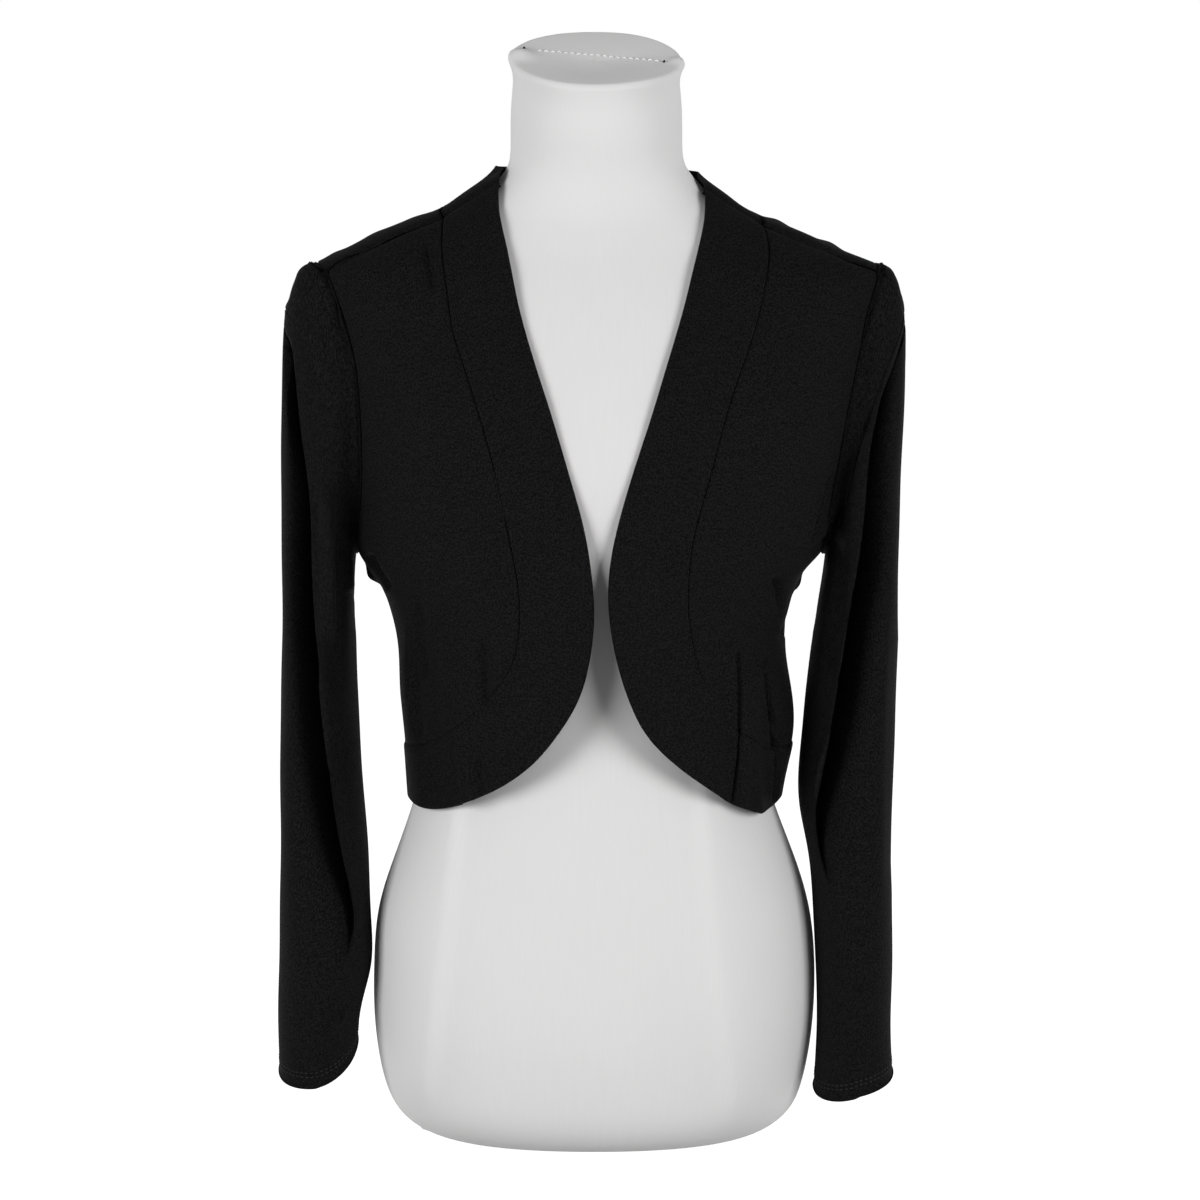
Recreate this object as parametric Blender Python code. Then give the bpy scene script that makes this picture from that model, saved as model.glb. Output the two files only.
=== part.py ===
"""Black knitted shrug with long set-in sleeves, worn on a limbless dress form.

+Z is up, the front faces -Y and the origin is the middle of the form's flat base. Left and right are the
wearer's, so left is +X. Every size below is in millimetres, and MM turns it to metres when a mesh is made.

A place on the cloth's body is a turn and a height. The turn is an angle seen from above: 0 is the left side,
90 the centre back, 180 the right side and 270 (or -90) the centre front.
"""

import bmesh
import bpy
import numpy as np

MM = 0.001
RIGHT = -1
LEFT = 1
SIDE_NAMES = {RIGHT: "right", LEFT: "left"}

WALL = 1.5  # thickness of the jersey with its turnings
SEAM_GAP = 0.3
SAME_PLACE = 0.01  # points nearer than this are one point
UNDERARM_HEIGHT = 428

# Segments of each grid. Pieces that meet at a seam have the same segments along it.
ARMHOLE_SEGMENTS = 13
SIDE_SEAM_SEGMENTS = 9
SHOULDER_SEGMENTS = 9
BACK_NECK_SEGMENTS = 16
BORDER_SEGMENTS = 3
YOKE_SEGMENTS = 4  # of the armhole and of the back neck, above a line across the back of each shoulder
HEAD_ROWS = 9
SLEEVE_ROWS = 14
FORM_RING_POINTS = 40


def table(names, *rows):
    """A table as one array for each named column."""
    return dict(zip(names.split(), np.array(rows, float).T))


# The dress form, from its base to its neck cap: half-width to each side, depth to front and back, how far the
# ring's middle leans to the back, the slope of the ring's plane and the fullness of its corners.
FORM_RINGS = table(
    "height right left front back lean slope fullness",
    (0, 84, 84, 50, 58, 4, 0, 2.2),
    (3, 104, 104, 65, 74, 4, 0, 2.2),
    (12, 129, 129, 83, 94, 4, 0, 2.2),
    (25, 143, 143, 92, 105, 3, 0, 2.2),
    (48, 152, 152, 98, 112, 2, 0, 2.2),
    (90, 158.5, 158.5, 102, 117, 0, 0, 2.2),
    (132, 159, 159.5, 102, 116, 0, 0, 2.2),
    (170, 155.5, 155.5, 99, 110, 0, 0, 2.2),
    (206, 144.5, 145, 95, 101, 0, 0, 2.2),
    (243, 131, 131, 90, 89, 0, 0, 2.25),
    (280, 120, 120, 86, 79, 0, 0, 2.3),
    (320, 114, 114, 84, 74, 0, 0, 2.3),
    (360, 121, 121, 91, 78, 0, 0, 2.3),
    (400, 134, 134, 103, 87, 0, 0, 2.35),
    (440, 145, 145, 112, 94, 0, 0, 2.4),
    (480, 154, 154, 115, 98, 0, 0, 2.4),
    (520, 164, 166, 109, 100, 0, 0, 2.4),
    (560, 175, 179, 98, 99, 2, 0, 2.35),
    (595, 184, 191, 85, 95, 4, 0, 2.3),
    (620, 184, 193, 74, 89, 6, 0, 2.25),
    (636, 172, 178, 66, 84, 7, 0, 2.2),
    (650, 150, 153, 60, 78, 8, 0, 2.2),
    (661, 126, 127, 56, 74, 9, 0, 2.15),
    (672, 102, 101, 53, 69, 9, 0, 2.1),
    (682, 84, 84, 51, 64, 8, 0, 2.05),
    (692, 70, 74, 50, 59, 6, 0, 2),
    (702, 62, 66, 50, 55, 4, 0, 2),
    (720, 59.5, 63, 51, 51, 1, 0.05, 2),
    (748, 59, 62.5, 57, 44, 4, 0.25, 2),
    (778, 59, 62.5, 67, 34, 8, 0.45, 2.1),
    (784, 57, 60.5, 65, 32, 8, 0.45, 2.1),
    (786, 52, 55.5, 60, 27, 8, 0.45, 2.1),
)

# The outer face of the cloth round the body, as level rings. Where an armhole is open, a ring only guides the
# panels that run up to it.
CLOTH_RINGS = table(
    "height right left front back lean fullness",
    (240, 132, 133, 108, 98, 0, 2.3),
    (270, 134.5, 138, 110, 97, 0, 2.3),
    (300, 137, 143.5, 112, 97, 0, 2.3),
    (330, 139.5, 142, 113, 97, 0, 2.3),
    (360, 141, 137.5, 115, 98, 0, 2.3),
    (385, 146, 139.5, 117, 99, 0, 2.3),
    (403, 153, 145, 118.5, 100, 0, 2.35),
    (415, 161, 152, 119, 100.5, 0, 2.35),
    (428, 169, 163, 119.5, 101, 0, 2.4),
    (455, 171.5, 172, 120, 102, 0, 2.4),
    (500, 174, 183, 116, 104, 0, 2.4),
    (532, 177, 190, 110, 104, 0, 2.4),
    (566, 184, 199, 100, 103, 2, 2.35),
    (595, 194, 207, 89, 99, 4, 2.3),
    (620, 202, 211, 80, 94, 6, 2.25),
    (633, 200, 203, 74, 89, 7, 2.2),
    (643, 181, 179, 69, 86, 8, 2.2),
    (654, 159, 154, 65, 82, 9, 2.2),
    (664, 134, 130, 61, 78, 9, 2.15),
    (672, 113, 111, 58, 74, 9, 2.1),
    (682, 96, 96, 56, 70, 8, 2.05),
    (692, 81, 82, 54, 66, 6, 2),
    (700, 73, 74, 54, 63, 4, 2),
    (709, 68, 69, 54, 61, 2, 2),
)

# The border down each front edge, from the shoulder seam to the side seam: the free edge and the seam along the
# border's other side, both seen from the front. The last row is at the side seam, so its x is left at 0.
FRONT_BORDERS = {
    RIGHT: table(
        "edge_x edge_height seam_x seam_height",
        (68.5, 690, 106, 667),
        (67.4, 668, 105.7, 642),
        (61.4, 641.5, 102, 616),
        (53.3, 603, 97, 585),
        (43.3, 567.7, 87.5, 556),
        (28.7, 522.5, 72.5, 508),
        (16.9, 483, 63, 470),
        (7.4, 448, 56.7, 439),
        (2, 414, 51.3, 409),
        (0.7, 385, 50.5, 383),
        (3.8, 358, 53.2, 363),
        (11.5, 331, 60.5, 346),
        (25, 308, 70.5, 333),
        (44, 285.4, 84, 318),
        (75.2, 263.9, 103, 303.5),
        (104, 252, 121, 294),
        (0, 252, 0, 290),
    ),
    LEFT: table(
        "edge_x edge_height seam_x seam_height",
        (80, 686, 119.3, 661.4),
        (78.4, 662, 122.4, 641),
        (71.8, 633.8, 118.5, 616),
        (64, 603, 112, 589),
        (50.5, 558, 96.5, 545),
        (40, 524, 86, 510),
        (26.6, 483, 75, 469),
        (17.3, 450, 67.8, 441),
        (11.8, 421, 64.9, 416),
        (11.2, 393, 64.5, 393),
        (15.2, 365, 67, 374),
        (22.9, 337, 71.8, 353),
        (33.9, 312, 78.5, 337.5),
        (49.2, 293, 87, 322),
        (78, 269.5, 101.5, 305),
        (108, 250, 120.5, 293.5),
        (0, 252, 0, 291),
    ),
}
# The two parts of a border's length: down the front to its corner, then along the hem to the side.
BORDER_CORNER = 0.72

# The shoulder seam from the border to the armhole, seen from the front.
SHOULDER_SEAMS = {
    RIGHT: table("x height", (106, 667), (137, 654.7), (159.5, 644.5), (188.5, 628)),
    LEFT: table("x height", (119.3, 661.4), (143, 650.3), (166.7, 641), (201, 628)),
}

# The front half of each armhole, from the shoulder seam down to the underarm.
FRONT_ARMHOLES = {
    RIGHT: table(
        "x height",
        (188.5, 628),
        (176.5, 594),
        (168.8, 566),
        (165, 532),
        (164, 502),
        (165.2, 468),
        (168.2, 444),
        (169, UNDERARM_HEIGHT),
    ),
    LEFT: table(
        "x height",
        (201, 628),
        (195.5, 604),
        (187, 567),
        (180, 533),
        (174.5, 499),
        (169, 468),
        (165.5, 445),
        (163, UNDERARM_HEIGHT),
    ),
}
# The back half, as how far the turn is behind the side.
BACK_ARMHOLE = table(
    "behind height",
    (0, 634),
    (15, 622),
    (25, 585),
    (28, 535),
    (26, 490),
    (17, 456),
    (0, UNDERARM_HEIGHT),
)

# The border round the back of the neck, from a shoulder seam to the centre back: how much of the way, then the
# height of its free edge and of its seam.
BACK_NECK = table(
    "way edge_height seam_height",
    (0, 697, 667),
    (0.27, 703, 675),
    (0.6, 706, 669),
    (1, 707, 661),
)
HEM_BACK_HEIGHT = 254
HEM_BACK_SEAM_HEIGHT = 299

# Large soft folds of the body seen from the front (face -1) or the back (face 1): a line from a high point to a
# low one, then how wide it is to each side and how far it stands out (or in, below zero).
BODY_FOLDS = table(
    "face top_x top_height low_x low_height reach rise",
    (-1, 92, 372, 96, 250, 9, -4),
    (-1, 117, 352, 127, 250, 8, -4),
    (-1, 106, 360, 111, 250, 8, 3),
    (-1, -132, 400, -108, 262, 12, -3),
    (-1, -98, 330, -88, 256, 10, 2.5),
    (1, -62, 560, -70, 250, 24, 4),
    (1, 58, 545, 66, 250, 22, 4.5),
    (1, -4, 420, 2, 250, 22, -4),
    (1, 112, 470, 106, 250, 14, -4),
    (1, -110, 450, -104, 250, 15, -3.5),
)
FOLD_FADE = 45  # how much height a fold takes to fade in below its top

# Level sections of each sleeve below its head: the outer and inner edge, the front and the back, and the deep
# fold down its front: where its ridge is and how far the cloth behind the ridge is set back.
SLEEVE_SECTIONS = {
    RIGHT: table(
        "height outer inner front back ridge set_back",
        (40, 225.5, 170.5, -61, 5, 196, 0),
        (75, 226.4, 170.3, -62, 8, 192, 0),
        (103, 226.4, 167, -63, 12, 184, 0),
        (130, 226, 160.5, -64, 16, 176, 0),
        (163, 226, 160, -64, 22, 170, 8),
        (210, 225.5, 162, -63, 30, 177, 20),
        (285, 225, 168, -62, 40, 187.6, 26),
        (366, 224.2, 171, -60, 47, 195, 27),
        (424, 223.4, 171, -58, 50, 198.5, 25),
        (474, 222.5, 168, -56, 52, 200.6, 20),
        (513, 221.5, 166, -54, 52, 204, 16),
        (552, 220.5, 166, -50, 50, 208.6, 11),
        (590, 218, 170, -46, 46, 213, 4),
        (640, 214, 180, -36, 40, 214, 0),
    ),
    LEFT: table(
        "height outer inner front back ridge set_back",
        (30, 215.5, 157, -61, 5, 186, 0),
        (55, 214.5, 158, -62, 6, 184, 0),
        (85, 213.3, 160, -62, 9, 182, 0),
        (130, 213.8, 159.5, -63, 14, 176, 0),
        (181, 214, 157, -63, 22, 168, 0),
        (215, 214.2, 153, -63, 28, 160, 7),
        (246, 214.3, 147.5, -62, 33, 159, 20),
        (300, 214.8, 149.5, -61, 40, 163, 26),
        (377, 216.4, 158.5, -60, 47, 171.5, 27),
        (415, 217.3, 163, -58, 50, 175, 26),
        (462, 219, 166, -56, 52, 185, 21),
        (500, 219.8, 168, -54, 52, 192, 18),
        (537, 220.2, 172, -51, 50, 198.4, 13),
        (589, 221.5, 178, -46, 46, 212, 4),
        (640, 219, 185, -36, 40, 214, 0),
    ),
}
SLEEVE_HEAD_END = 365  # height where the set-in head has become a plain tube
RIDGE_COLUMN = 5  # the column of points that follows the ridge
BEHIND_RIDGE = 7  # how many degrees the next column is past it, where the cloth is set back the most
RIDGE_TURN = 3.5  # the same as a width, in the sleeve's head
RIDGE_SLIDE_ROWS = 2  # rows below the armhole by which a column has reached the ridge
RIDGE_START_ROWS = 3  # rows over which the fold starts
SET_BACK_AT_SIDE = 0.3  # share of the set-back that is left at the sleeve's outer side
FIRST_SLEEVE_ANGLE = 20  # angle of the shoulder seam round the sleeve, from its outer side to the front

SOFTENING_STEPS = 4  # evens out the head between the underarm and the tube

# How the sleeve leaves the armhole, by the angle round it: outwards, up and to the back, then how straight it
# comes down to the tube and how far it is drawn in on the way.
SLEEVE_HEAD = table(
    "angle out up behind lift draw_in",
    (0, 36, 6, 0, 170, 3),
    (90, 17, -16, -6, 80, 0),
    (180, 5, -14, 0, 22, 0),
    (270, 17, -16, 6, 80, 0),
    (360, 36, 6, 0, 170, 3),
)
# The height of each cuff's edge at its outer side, front, inner side and back.
CUFFS = {
    RIGHT: dict(outer=58, front=51, inner=76, back=82),
    LEFT: dict(outer=56, front=40, inner=44, back=58),
}


def spline(knots, values, at):
    """A natural cubic spline through the rows of values, read at the given places."""
    knots = np.asarray(knots, float)
    values = np.asarray(values, float).reshape(len(knots), -1)
    steps = np.diff(knots)
    matrix = np.eye(len(knots))
    target = np.zeros_like(values)
    for i in range(1, len(knots) - 1):
        matrix[i, i - 1 : i + 2] = steps[i - 1], 2 * (steps[i - 1] + steps[i]), steps[i]
        before = (values[i] - values[i - 1]) / steps[i - 1]
        after = (values[i + 1] - values[i]) / steps[i]
        target[i] = 6 * (after - before)
    bend = np.linalg.solve(matrix, target)
    at = np.asarray(at, float)
    flat = np.clip(at.ravel(), knots[0], knots[-1])
    i = np.clip(np.searchsorted(knots, flat) - 1, 0, len(steps) - 1)
    step = steps[i][:, None]
    left = (knots[i + 1] - flat)[:, None] / step
    right = 1 - left
    read = left * values[i] + right * values[i + 1]
    read += ((left**3 - left) * bend[i] + (right**3 - right) * bend[i + 1]) * step**2 / 6
    return read.reshape(at.shape + (-1,))


def read(rows, column, at, by="height"):
    """One column of a table, read smoothly at the given heights."""
    return spline(rows[by], rows[column], at)[..., 0]


def chords(points):
    """How far each point is along a line of points, from 0 to 1."""
    lengths = np.linalg.norm(np.diff(points, axis=0), axis=1)
    along = np.concatenate([[0], np.cumsum(lengths)])
    return along / along[-1]


def smooth_line(points, segments):
    """Points spread evenly along a spline through a short list of points."""
    return spline(chords(points), points, np.linspace(0, 1, segments + 1))


def ease(value):
    """0 below 0, 1 above 1 and a smooth step between them."""
    value = np.clip(value, 0, 1)
    return value * value * (3 - 2 * value)


def unit(vectors):
    return vectors / np.linalg.norm(vectors, axis=-1, keepdims=True)


def ring_point(right, left, front, back, lean, fullness, turn):
    """Points of a ring made of four quarter superellipses."""
    across = np.cos(np.radians(turn))
    along = np.sin(np.radians(turn))
    half = np.where(across > 0, left, right)
    depth = np.where(along > 0, back, front)
    x = half * np.sign(across) * np.abs(across) ** (2 / fullness)
    y = lean + depth * np.sign(along) * np.abs(along) ** (2 / fullness)
    return x, y


def fold_rise(x, y, height):
    """How far the large folds push the body's cloth out at a place."""
    rise = np.zeros(np.broadcast(x, y, height).shape)
    for i, face in enumerate(BODY_FOLDS["face"]):
        fold = {name: column[i] for name, column in BODY_FOLDS.items()}
        down = (fold["top_height"] - height) / (fold["top_height"] - fold["low_height"])
        middle = fold["top_x"] + (fold["low_x"] - fold["top_x"]) * down
        strength = ease((fold["top_height"] - height) / FOLD_FADE) * ease(np.abs(y) / FOLD_FADE)
        rise += np.where(
            y * face > 0,
            fold["rise"] * strength * np.exp(-(((x - middle) / fold["reach"]) ** 2)),
            0,
        )
    return rise


def ring_sizes(height):
    return [read(CLOTH_RINGS, name, height) for name in ("right", "left", "front", "back", "lean", "fullness")]


def cloth(turn, height):
    """The outer face of the body's cloth at a turn and a height."""
    turn, height = np.broadcast_arrays(turn, height)
    x, y = ring_point(*ring_sizes(height), turn)
    rise = fold_rise(x, y, height)
    outward = np.radians(turn)
    return np.stack([x + rise * np.cos(outward), y + rise * np.sin(outward), height], axis=-1)


def shares_of_ring(points):
    """How far points are to the side and in depth, as shares of their rings, with the ring's own power."""
    x, y, height = np.moveaxis(points, -1, 0)
    right, left, front, back, lean, fullness = ring_sizes(height)
    aside = np.abs(x) / np.where(x > 0, left, right)
    deep = np.abs(y - lean) / np.where(y > lean, back, front)
    return aside**fullness, deep**fullness


def nearest_on_cloth(points):
    """Turn and height of the places of the cloth that are nearest to points close to it."""
    steps = np.eye(3) * 0.5
    for _ in range(6):
        beyond = sum(shares_of_ring(points)) - 1
        slope = np.stack(
            [sum(shares_of_ring(points + step)) - sum(shares_of_ring(points - step)) for step in steps], axis=-1
        )
        points = points - beyond[..., None] * slope / (slope**2).sum(axis=-1, keepdims=True)
    aside, deep = shares_of_ring(points)
    x, y, height = np.moveaxis(points, -1, 0)
    from_side = np.degrees(np.arctan2(np.sqrt(deep), np.sqrt(aside)))
    from_side = np.where(y > read(CLOTH_RINGS, "lean", height), from_side, -from_side)
    return np.stack([np.where(x > 0, from_side, 180 - from_side), height], axis=-1)


def cloth_normal(turn, height):
    """Which way the outer face looks, from its slopes along the ring and up."""
    step_turn = 0.4
    step_height = 0.8
    along = cloth(turn + step_turn, height) - cloth(turn - step_turn, height)
    up = cloth(turn, height + step_height) - cloth(turn, height - step_height)
    return unit(np.cross(along, up))


def front_turn(side, x, height):
    """The turn of a place on the front that is x from the middle."""
    half = read(CLOTH_RINGS, SIDE_NAMES[side], height)
    fullness = read(CLOTH_RINGS, "fullness", height)
    before_side = np.degrees(np.arccos(np.clip(x / half, 0, 1) ** (fullness / 2)))
    return -before_side if side == LEFT else 180 + before_side


def behind_turn(side, behind):
    """The turn that lies a given angle behind the side."""
    return behind if side == LEFT else 180 - behind


def front_border(side):
    """Turn and height along a front border's free edge and its seam, with the corner at a point of its own."""
    rows = FRONT_BORDERS[side]
    lines = []
    for name in ("edge", "seam"):
        x = rows[name + "_x"].copy()
        x[-1] = read(CLOTH_RINGS, SIDE_NAMES[side], rows[name + "_height"][-1])
        lines.append(np.stack([x, rows[name + "_height"]], axis=-1))
    middle = sum(cloth(front_turn(side, *line.T), line[:, 1]) for line in lines) / 2
    down = np.linspace(0, BORDER_CORNER, ARMHOLE_SEGMENTS + SIDE_SEAM_SEGMENTS + 1)
    along = np.linspace(BORDER_CORNER, 1, SHOULDER_SEGMENTS + 1)[1:]
    stations = np.concatenate([down, along])
    lines = [spline(chords(middle), line, stations) for line in lines]
    return [np.stack([front_turn(side, *line.T), line[:, 1]], axis=-1) for line in lines]


def shoulder_seam(side):
    """Turn and height along the shoulder seam, from the border to the armhole."""
    rows = SHOULDER_SEAMS[side]
    turn = front_turn(side, rows["x"], rows["height"])
    return smooth_line(np.stack([turn, rows["height"]], axis=-1), SHOULDER_SEGMENTS)


def even_on_cloth(line, segments):
    """A line of turns and heights, read again at even steps along the cloth."""
    fine = spline(chords(cloth(*line.T)), line, np.linspace(0, 1, 20 * segments + 1))
    return spline(chords(cloth(*fine.T)), fine, np.linspace(0, 1, segments + 1))


def armhole(side):
    """Turn and height down the front half of an armhole and down its back half, both to the underarm."""
    rows = FRONT_ARMHOLES[side]
    turn = front_turn(side, rows["x"], rows["height"])
    turn[-1] = behind_turn(side, 0)
    front = np.stack([turn, rows["height"]], axis=-1)
    rows = BACK_ARMHOLE
    back = np.stack([behind_turn(side, rows["behind"]), rows["height"]], axis=-1)
    back = np.vstack([front[:1], back])
    return even_on_cloth(front, ARMHOLE_SEGMENTS), even_on_cloth(back, ARMHOLE_SEGMENTS)


def side_seam(side):
    """Turn and height down the side seam, from the underarm to the hem's border."""
    low = FRONT_BORDERS[side]["seam_height"][-1]
    heights = np.linspace(UNDERARM_HEIGHT, low, SIDE_SEAM_SEGMENTS + 1)
    return np.stack([np.full_like(heights, behind_turn(side, 0)), heights], axis=-1)


def back_neck():
    """Turn and height of the back neck border's free edge and seam, from the right shoulder to the left."""
    way = np.linspace(0, 1, BACK_NECK_SEGMENTS // 2 + 1)
    lines = []
    for index, name in enumerate(("edge", "seam")):
        halves = []
        for side in (RIGHT, LEFT):
            turn, height = front_border(side)[index][0]
            heights = read(BACK_NECK, name + "_height", way, by="way")
            heights = heights + (height - heights[0]) * (1 - way) ** 2
            half = np.stack([turn + (90 - turn) * way, heights], axis=-1)
            halves.append(even_on_cloth(half, BACK_NECK_SEGMENTS // 2))
        lines.append(np.vstack([halves[0], halves[1][-2::-1]]))
    return lines


def back_hem():
    """Turn and height of the back hem border's free edge and seam, from the right side seam to the left."""
    segments = 2 * SHOULDER_SEGMENTS + BACK_NECK_SEGMENTS - 2 * YOKE_SEGMENTS
    turn = np.linspace(180, 0, segments + 1)
    bow = np.sin(np.radians(turn))
    lines = []
    for name, middle in (("edge", HEM_BACK_HEIGHT), ("seam", HEM_BACK_SEAM_HEIGHT)):
        right, left = (FRONT_BORDERS[side][name + "_height"][-1] for side in (RIGHT, LEFT))
        sides = left + (right - left) * turn / 180
        lines.append(np.stack([turn, sides + (middle - sides) * bow], axis=-1))
    return lines


def patch(top, bottom, start, end):
    """A grid of turns and heights between four lines of them: a Coons patch in space, brought to the cloth.

    top and bottom run from start to end; start and end run downwards.
    """
    across = np.linspace(0, 1, len(top))[None, :, None]
    down = np.linspace(0, 1, len(start))[:, None, None]
    above, below, first, last = (cloth(*line.T) for line in (top, bottom, start, end))
    between_ends = (1 - across) * first[:, None] + across * last[:, None]
    between_lines = (1 - down) * above[None] + down * below[None]
    corners = (1 - down) * ((1 - across) * above[0] + across * above[-1])
    corners = corners + down * ((1 - across) * below[0] + across * below[-1])
    places = nearest_on_cloth(between_ends + between_lines - corners)
    places[0], places[-1], places[:, 0], places[:, -1] = top, bottom, start, end
    return places


def sleeve_angles():
    """The angle of each column round a sleeve: 0 is its outer side, 90 its front, 180 its inner side."""
    front = np.linspace(FIRST_SLEEVE_ANGLE, 180, ARMHOLE_SEGMENTS + 1)
    back = np.linspace(180, 360 + FIRST_SLEEVE_ANGLE, ARMHOLE_SEGMENTS + 1)[1:-1]
    return np.concatenate([front, back])


def follow_ridge(angle, ridge_angle):
    """Moves the columns down a sleeve's front so that one stays on the fold's ridge and the next just past it."""
    columns = sleeve_angles()
    ridge, behind = columns[RIDGE_COLUMN], columns[RIDGE_COLUMN - 1]
    past = FIRST_SLEEVE_ANGLE + (angle - FIRST_SLEEVE_ANGLE) * (
        (ridge_angle - BEHIND_RIDGE - FIRST_SLEEVE_ANGLE) / (behind - FIRST_SLEEVE_ANGLE)
    )
    before = ridge_angle + (angle - ridge) * (180 - ridge_angle) / (180 - ridge)
    moved = np.where(angle < ridge, past, before)
    return np.where((angle > FIRST_SLEEVE_ANGLE) & (angle < 180), moved, angle)


def slide_to_ridge(side, row, strength):
    """Slides the front columns of one of the head's rows along it, so that one is on the ridge."""
    columns = np.arange(ARMHOLE_SEGMENTS + 1)
    fine = np.linspace(0, ARMHOLE_SEGMENTS, 40 * ARMHOLE_SEGMENTS + 1)
    curve = np.stack([np.interp(fine, columns, row[:, axis]) for axis in range(3)], axis=-1)
    past = side * curve[:, 0] - read(SLEEVE_SECTIONS[side], "ridge", curve[:, 2])
    just_past = max(fine[np.argmax(past < RIDGE_TURN)], RIDGE_COLUMN / 2)
    on_ridge = max(fine[np.argmax(past < 0)], just_past + 0.3)
    knots = [0, RIDGE_COLUMN - 1, RIDGE_COLUMN, ARMHOLE_SEGMENTS]
    slid = np.interp(columns, knots, [0, just_past, on_ridge, ARMHOLE_SEGMENTS])
    places = columns + (slid - columns) * strength
    return np.stack([np.interp(places, columns, row[:, axis]) for axis in range(3)], axis=-1)


def set_behind_ridge(side, points):
    """Puts a column on the ridge all the way down, and sets the columns past it back."""
    front = slice(ARMHOLE_SEGMENTS + 1)
    strength = ease(np.arange(len(points)) / RIDGE_START_ROWS)
    for i in range(1, HEAD_ROWS):
        points[i, front] = slide_to_ridge(side, points[i, front], min(i / RIDGE_SLIDE_ROWS, 1))
    columns = np.arange(ARMHOLE_SEGMENTS + 1)
    share = np.interp(columns, [0, RIDGE_COLUMN - 1, RIDGE_COLUMN], [SET_BACK_AT_SIDE, 1, 0])
    set_back = np.maximum(read(SLEEVE_SECTIONS[side], "set_back", points[:, front, 2]), 0)
    points[:, front, 1] += set_back * share * strength[:, None]


def sleeve_section(side, angle, height):
    """Points of a sleeve's tube, before the cloth is set back behind the ridge."""
    rows = SLEEVE_SECTIONS[side]
    outer, inner, front, back, ridge = (
        read(rows, name, height) for name in ("outer", "inner", "front", "back", "ridge")
    )
    half = (outer - inner) / 2
    middle = (outer + inner) / 2
    ridge_angle = np.degrees(np.arccos(np.clip((ridge - middle) / half, -0.9, 0.9)))
    angle = follow_ridge(angle, ridge_angle)
    x = middle + half * np.cos(np.radians(angle))
    y = (front + back) / 2 + (front - back) / 2 * np.sin(np.radians(angle))
    return x, y


def sleeve_head_value(name, angle):
    """A column of the sleeve head's table, eased from one angle of the table to the next."""
    knots = SLEEVE_HEAD["angle"]
    values = SLEEVE_HEAD[name]
    angle = np.mod(angle, 360)
    i = np.searchsorted(knots, angle, side="right") - 1
    share = ease((angle - knots[i]) / (knots[i + 1] - knots[i]))
    return values[i] + (values[i + 1] - values[i]) * share


def sleeve(side):
    """Points of a sleeve's outer face, a row for each ring from the armhole to the cuff."""
    front, back = armhole(side)
    seam = np.vstack([front, back[-2:0:-1]])
    start = cloth(*seam.T)
    angle = sleeve_angles()
    leave = np.stack(
        [
            side * sleeve_head_value("out", angle),
            sleeve_head_value("behind", angle),
            sleeve_head_value("up", angle),
        ],
        axis=-1,
    )
    x, y = sleeve_section(side, angle, np.full_like(angle, SLEEVE_HEAD_END))
    end = np.stack([side * x, y, np.full_like(angle, SLEEVE_HEAD_END)], axis=-1)
    above = end.copy()
    above[:, 0] -= side * sleeve_head_value("draw_in", angle)
    above[:, 2] += sleeve_head_value("lift", angle)
    share = (np.linspace(0, 1, HEAD_ROWS + 1) ** 1.3)[:, None, None]
    head = (1 - share) ** 3 * start + 3 * share * (1 - share) ** 2 * (start + leave)
    head = head + 3 * share**2 * (1 - share) * above + share**3 * end

    cuff = CUFFS[side]
    turned = np.radians(angle)
    low = (cuff["outer"] + cuff["inner"]) / 2 + (cuff["outer"] - cuff["inner"]) / 2 * np.cos(turned)
    low = low + (cuff["front"] - cuff["back"]) / 2 * np.sin(turned)
    share = np.linspace(0, 1, SLEEVE_ROWS + 1)[1:, None]
    height = SLEEVE_HEAD_END + (low - SLEEVE_HEAD_END) * share
    x, y = sleeve_section(side, angle[None, :], height)
    tube = np.stack([side * x, y, height], axis=-1)

    points = np.concatenate([head, tube])
    soft = ((1 - np.cos(turned)) / 2)[:, None]
    for _ in range(SOFTENING_STEPS):
        beside = np.roll(points, 1, axis=1) + np.roll(points, -1, axis=1)
        beside = beside[2:HEAD_ROWS] + points[3 : HEAD_ROWS + 1] + points[1 : HEAD_ROWS - 1]
        points[2:HEAD_ROWS] += soft * (beside / 4 - points[2:HEAD_ROWS]) / 2
    set_behind_ridge(side, points)
    return points, leave


def body_seam(line):
    """A seam on the body: its points, the way the cloth looks there and the way across the seam."""
    points = cloth(*line.T)
    looks = cloth_normal(*line.T)
    tangent = unit(np.gradient(points, axis=0))
    return points, looks, unit(np.cross(looks, tangent))


def armhole_seam(side, leave):
    """The seam between body and sleeve, where the wall looks half way between the two."""
    front, back = armhole(side)
    line = np.vstack([front, back[-2:0:-1]])
    points = cloth(*line.T)
    tangent = unit(np.roll(points, -1, axis=0) - np.roll(points, 1, axis=0))
    inside = points.mean(axis=0) - points
    body_looks = cloth_normal(*line.T)
    body_way = unit(np.cross(body_looks, tangent))
    body_way *= np.sign((body_way * inside).sum(axis=1, keepdims=True))
    sleeve_looks = unit(np.cross(tangent, leave))
    sleeve_looks *= np.sign((sleeve_looks * -inside).sum(axis=1, keepdims=True))
    looks = unit(body_looks + sleeve_looks)
    across = unit(np.cross(looks, tangent))
    across *= np.sign((across * (body_way + unit(leave))).sum(axis=1, keepdims=True))
    return points, looks, across


def material(name, colour, roughness):
    made = bpy.data.materials.new(name)
    made.use_nodes = True
    shader = made.node_tree.nodes["Principled BSDF"]
    shader.inputs["Base Color"].default_value = (*colour, 1)
    shader.inputs["Roughness"].default_value = roughness
    shader.inputs["Metallic"].default_value = 0
    return made


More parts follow.
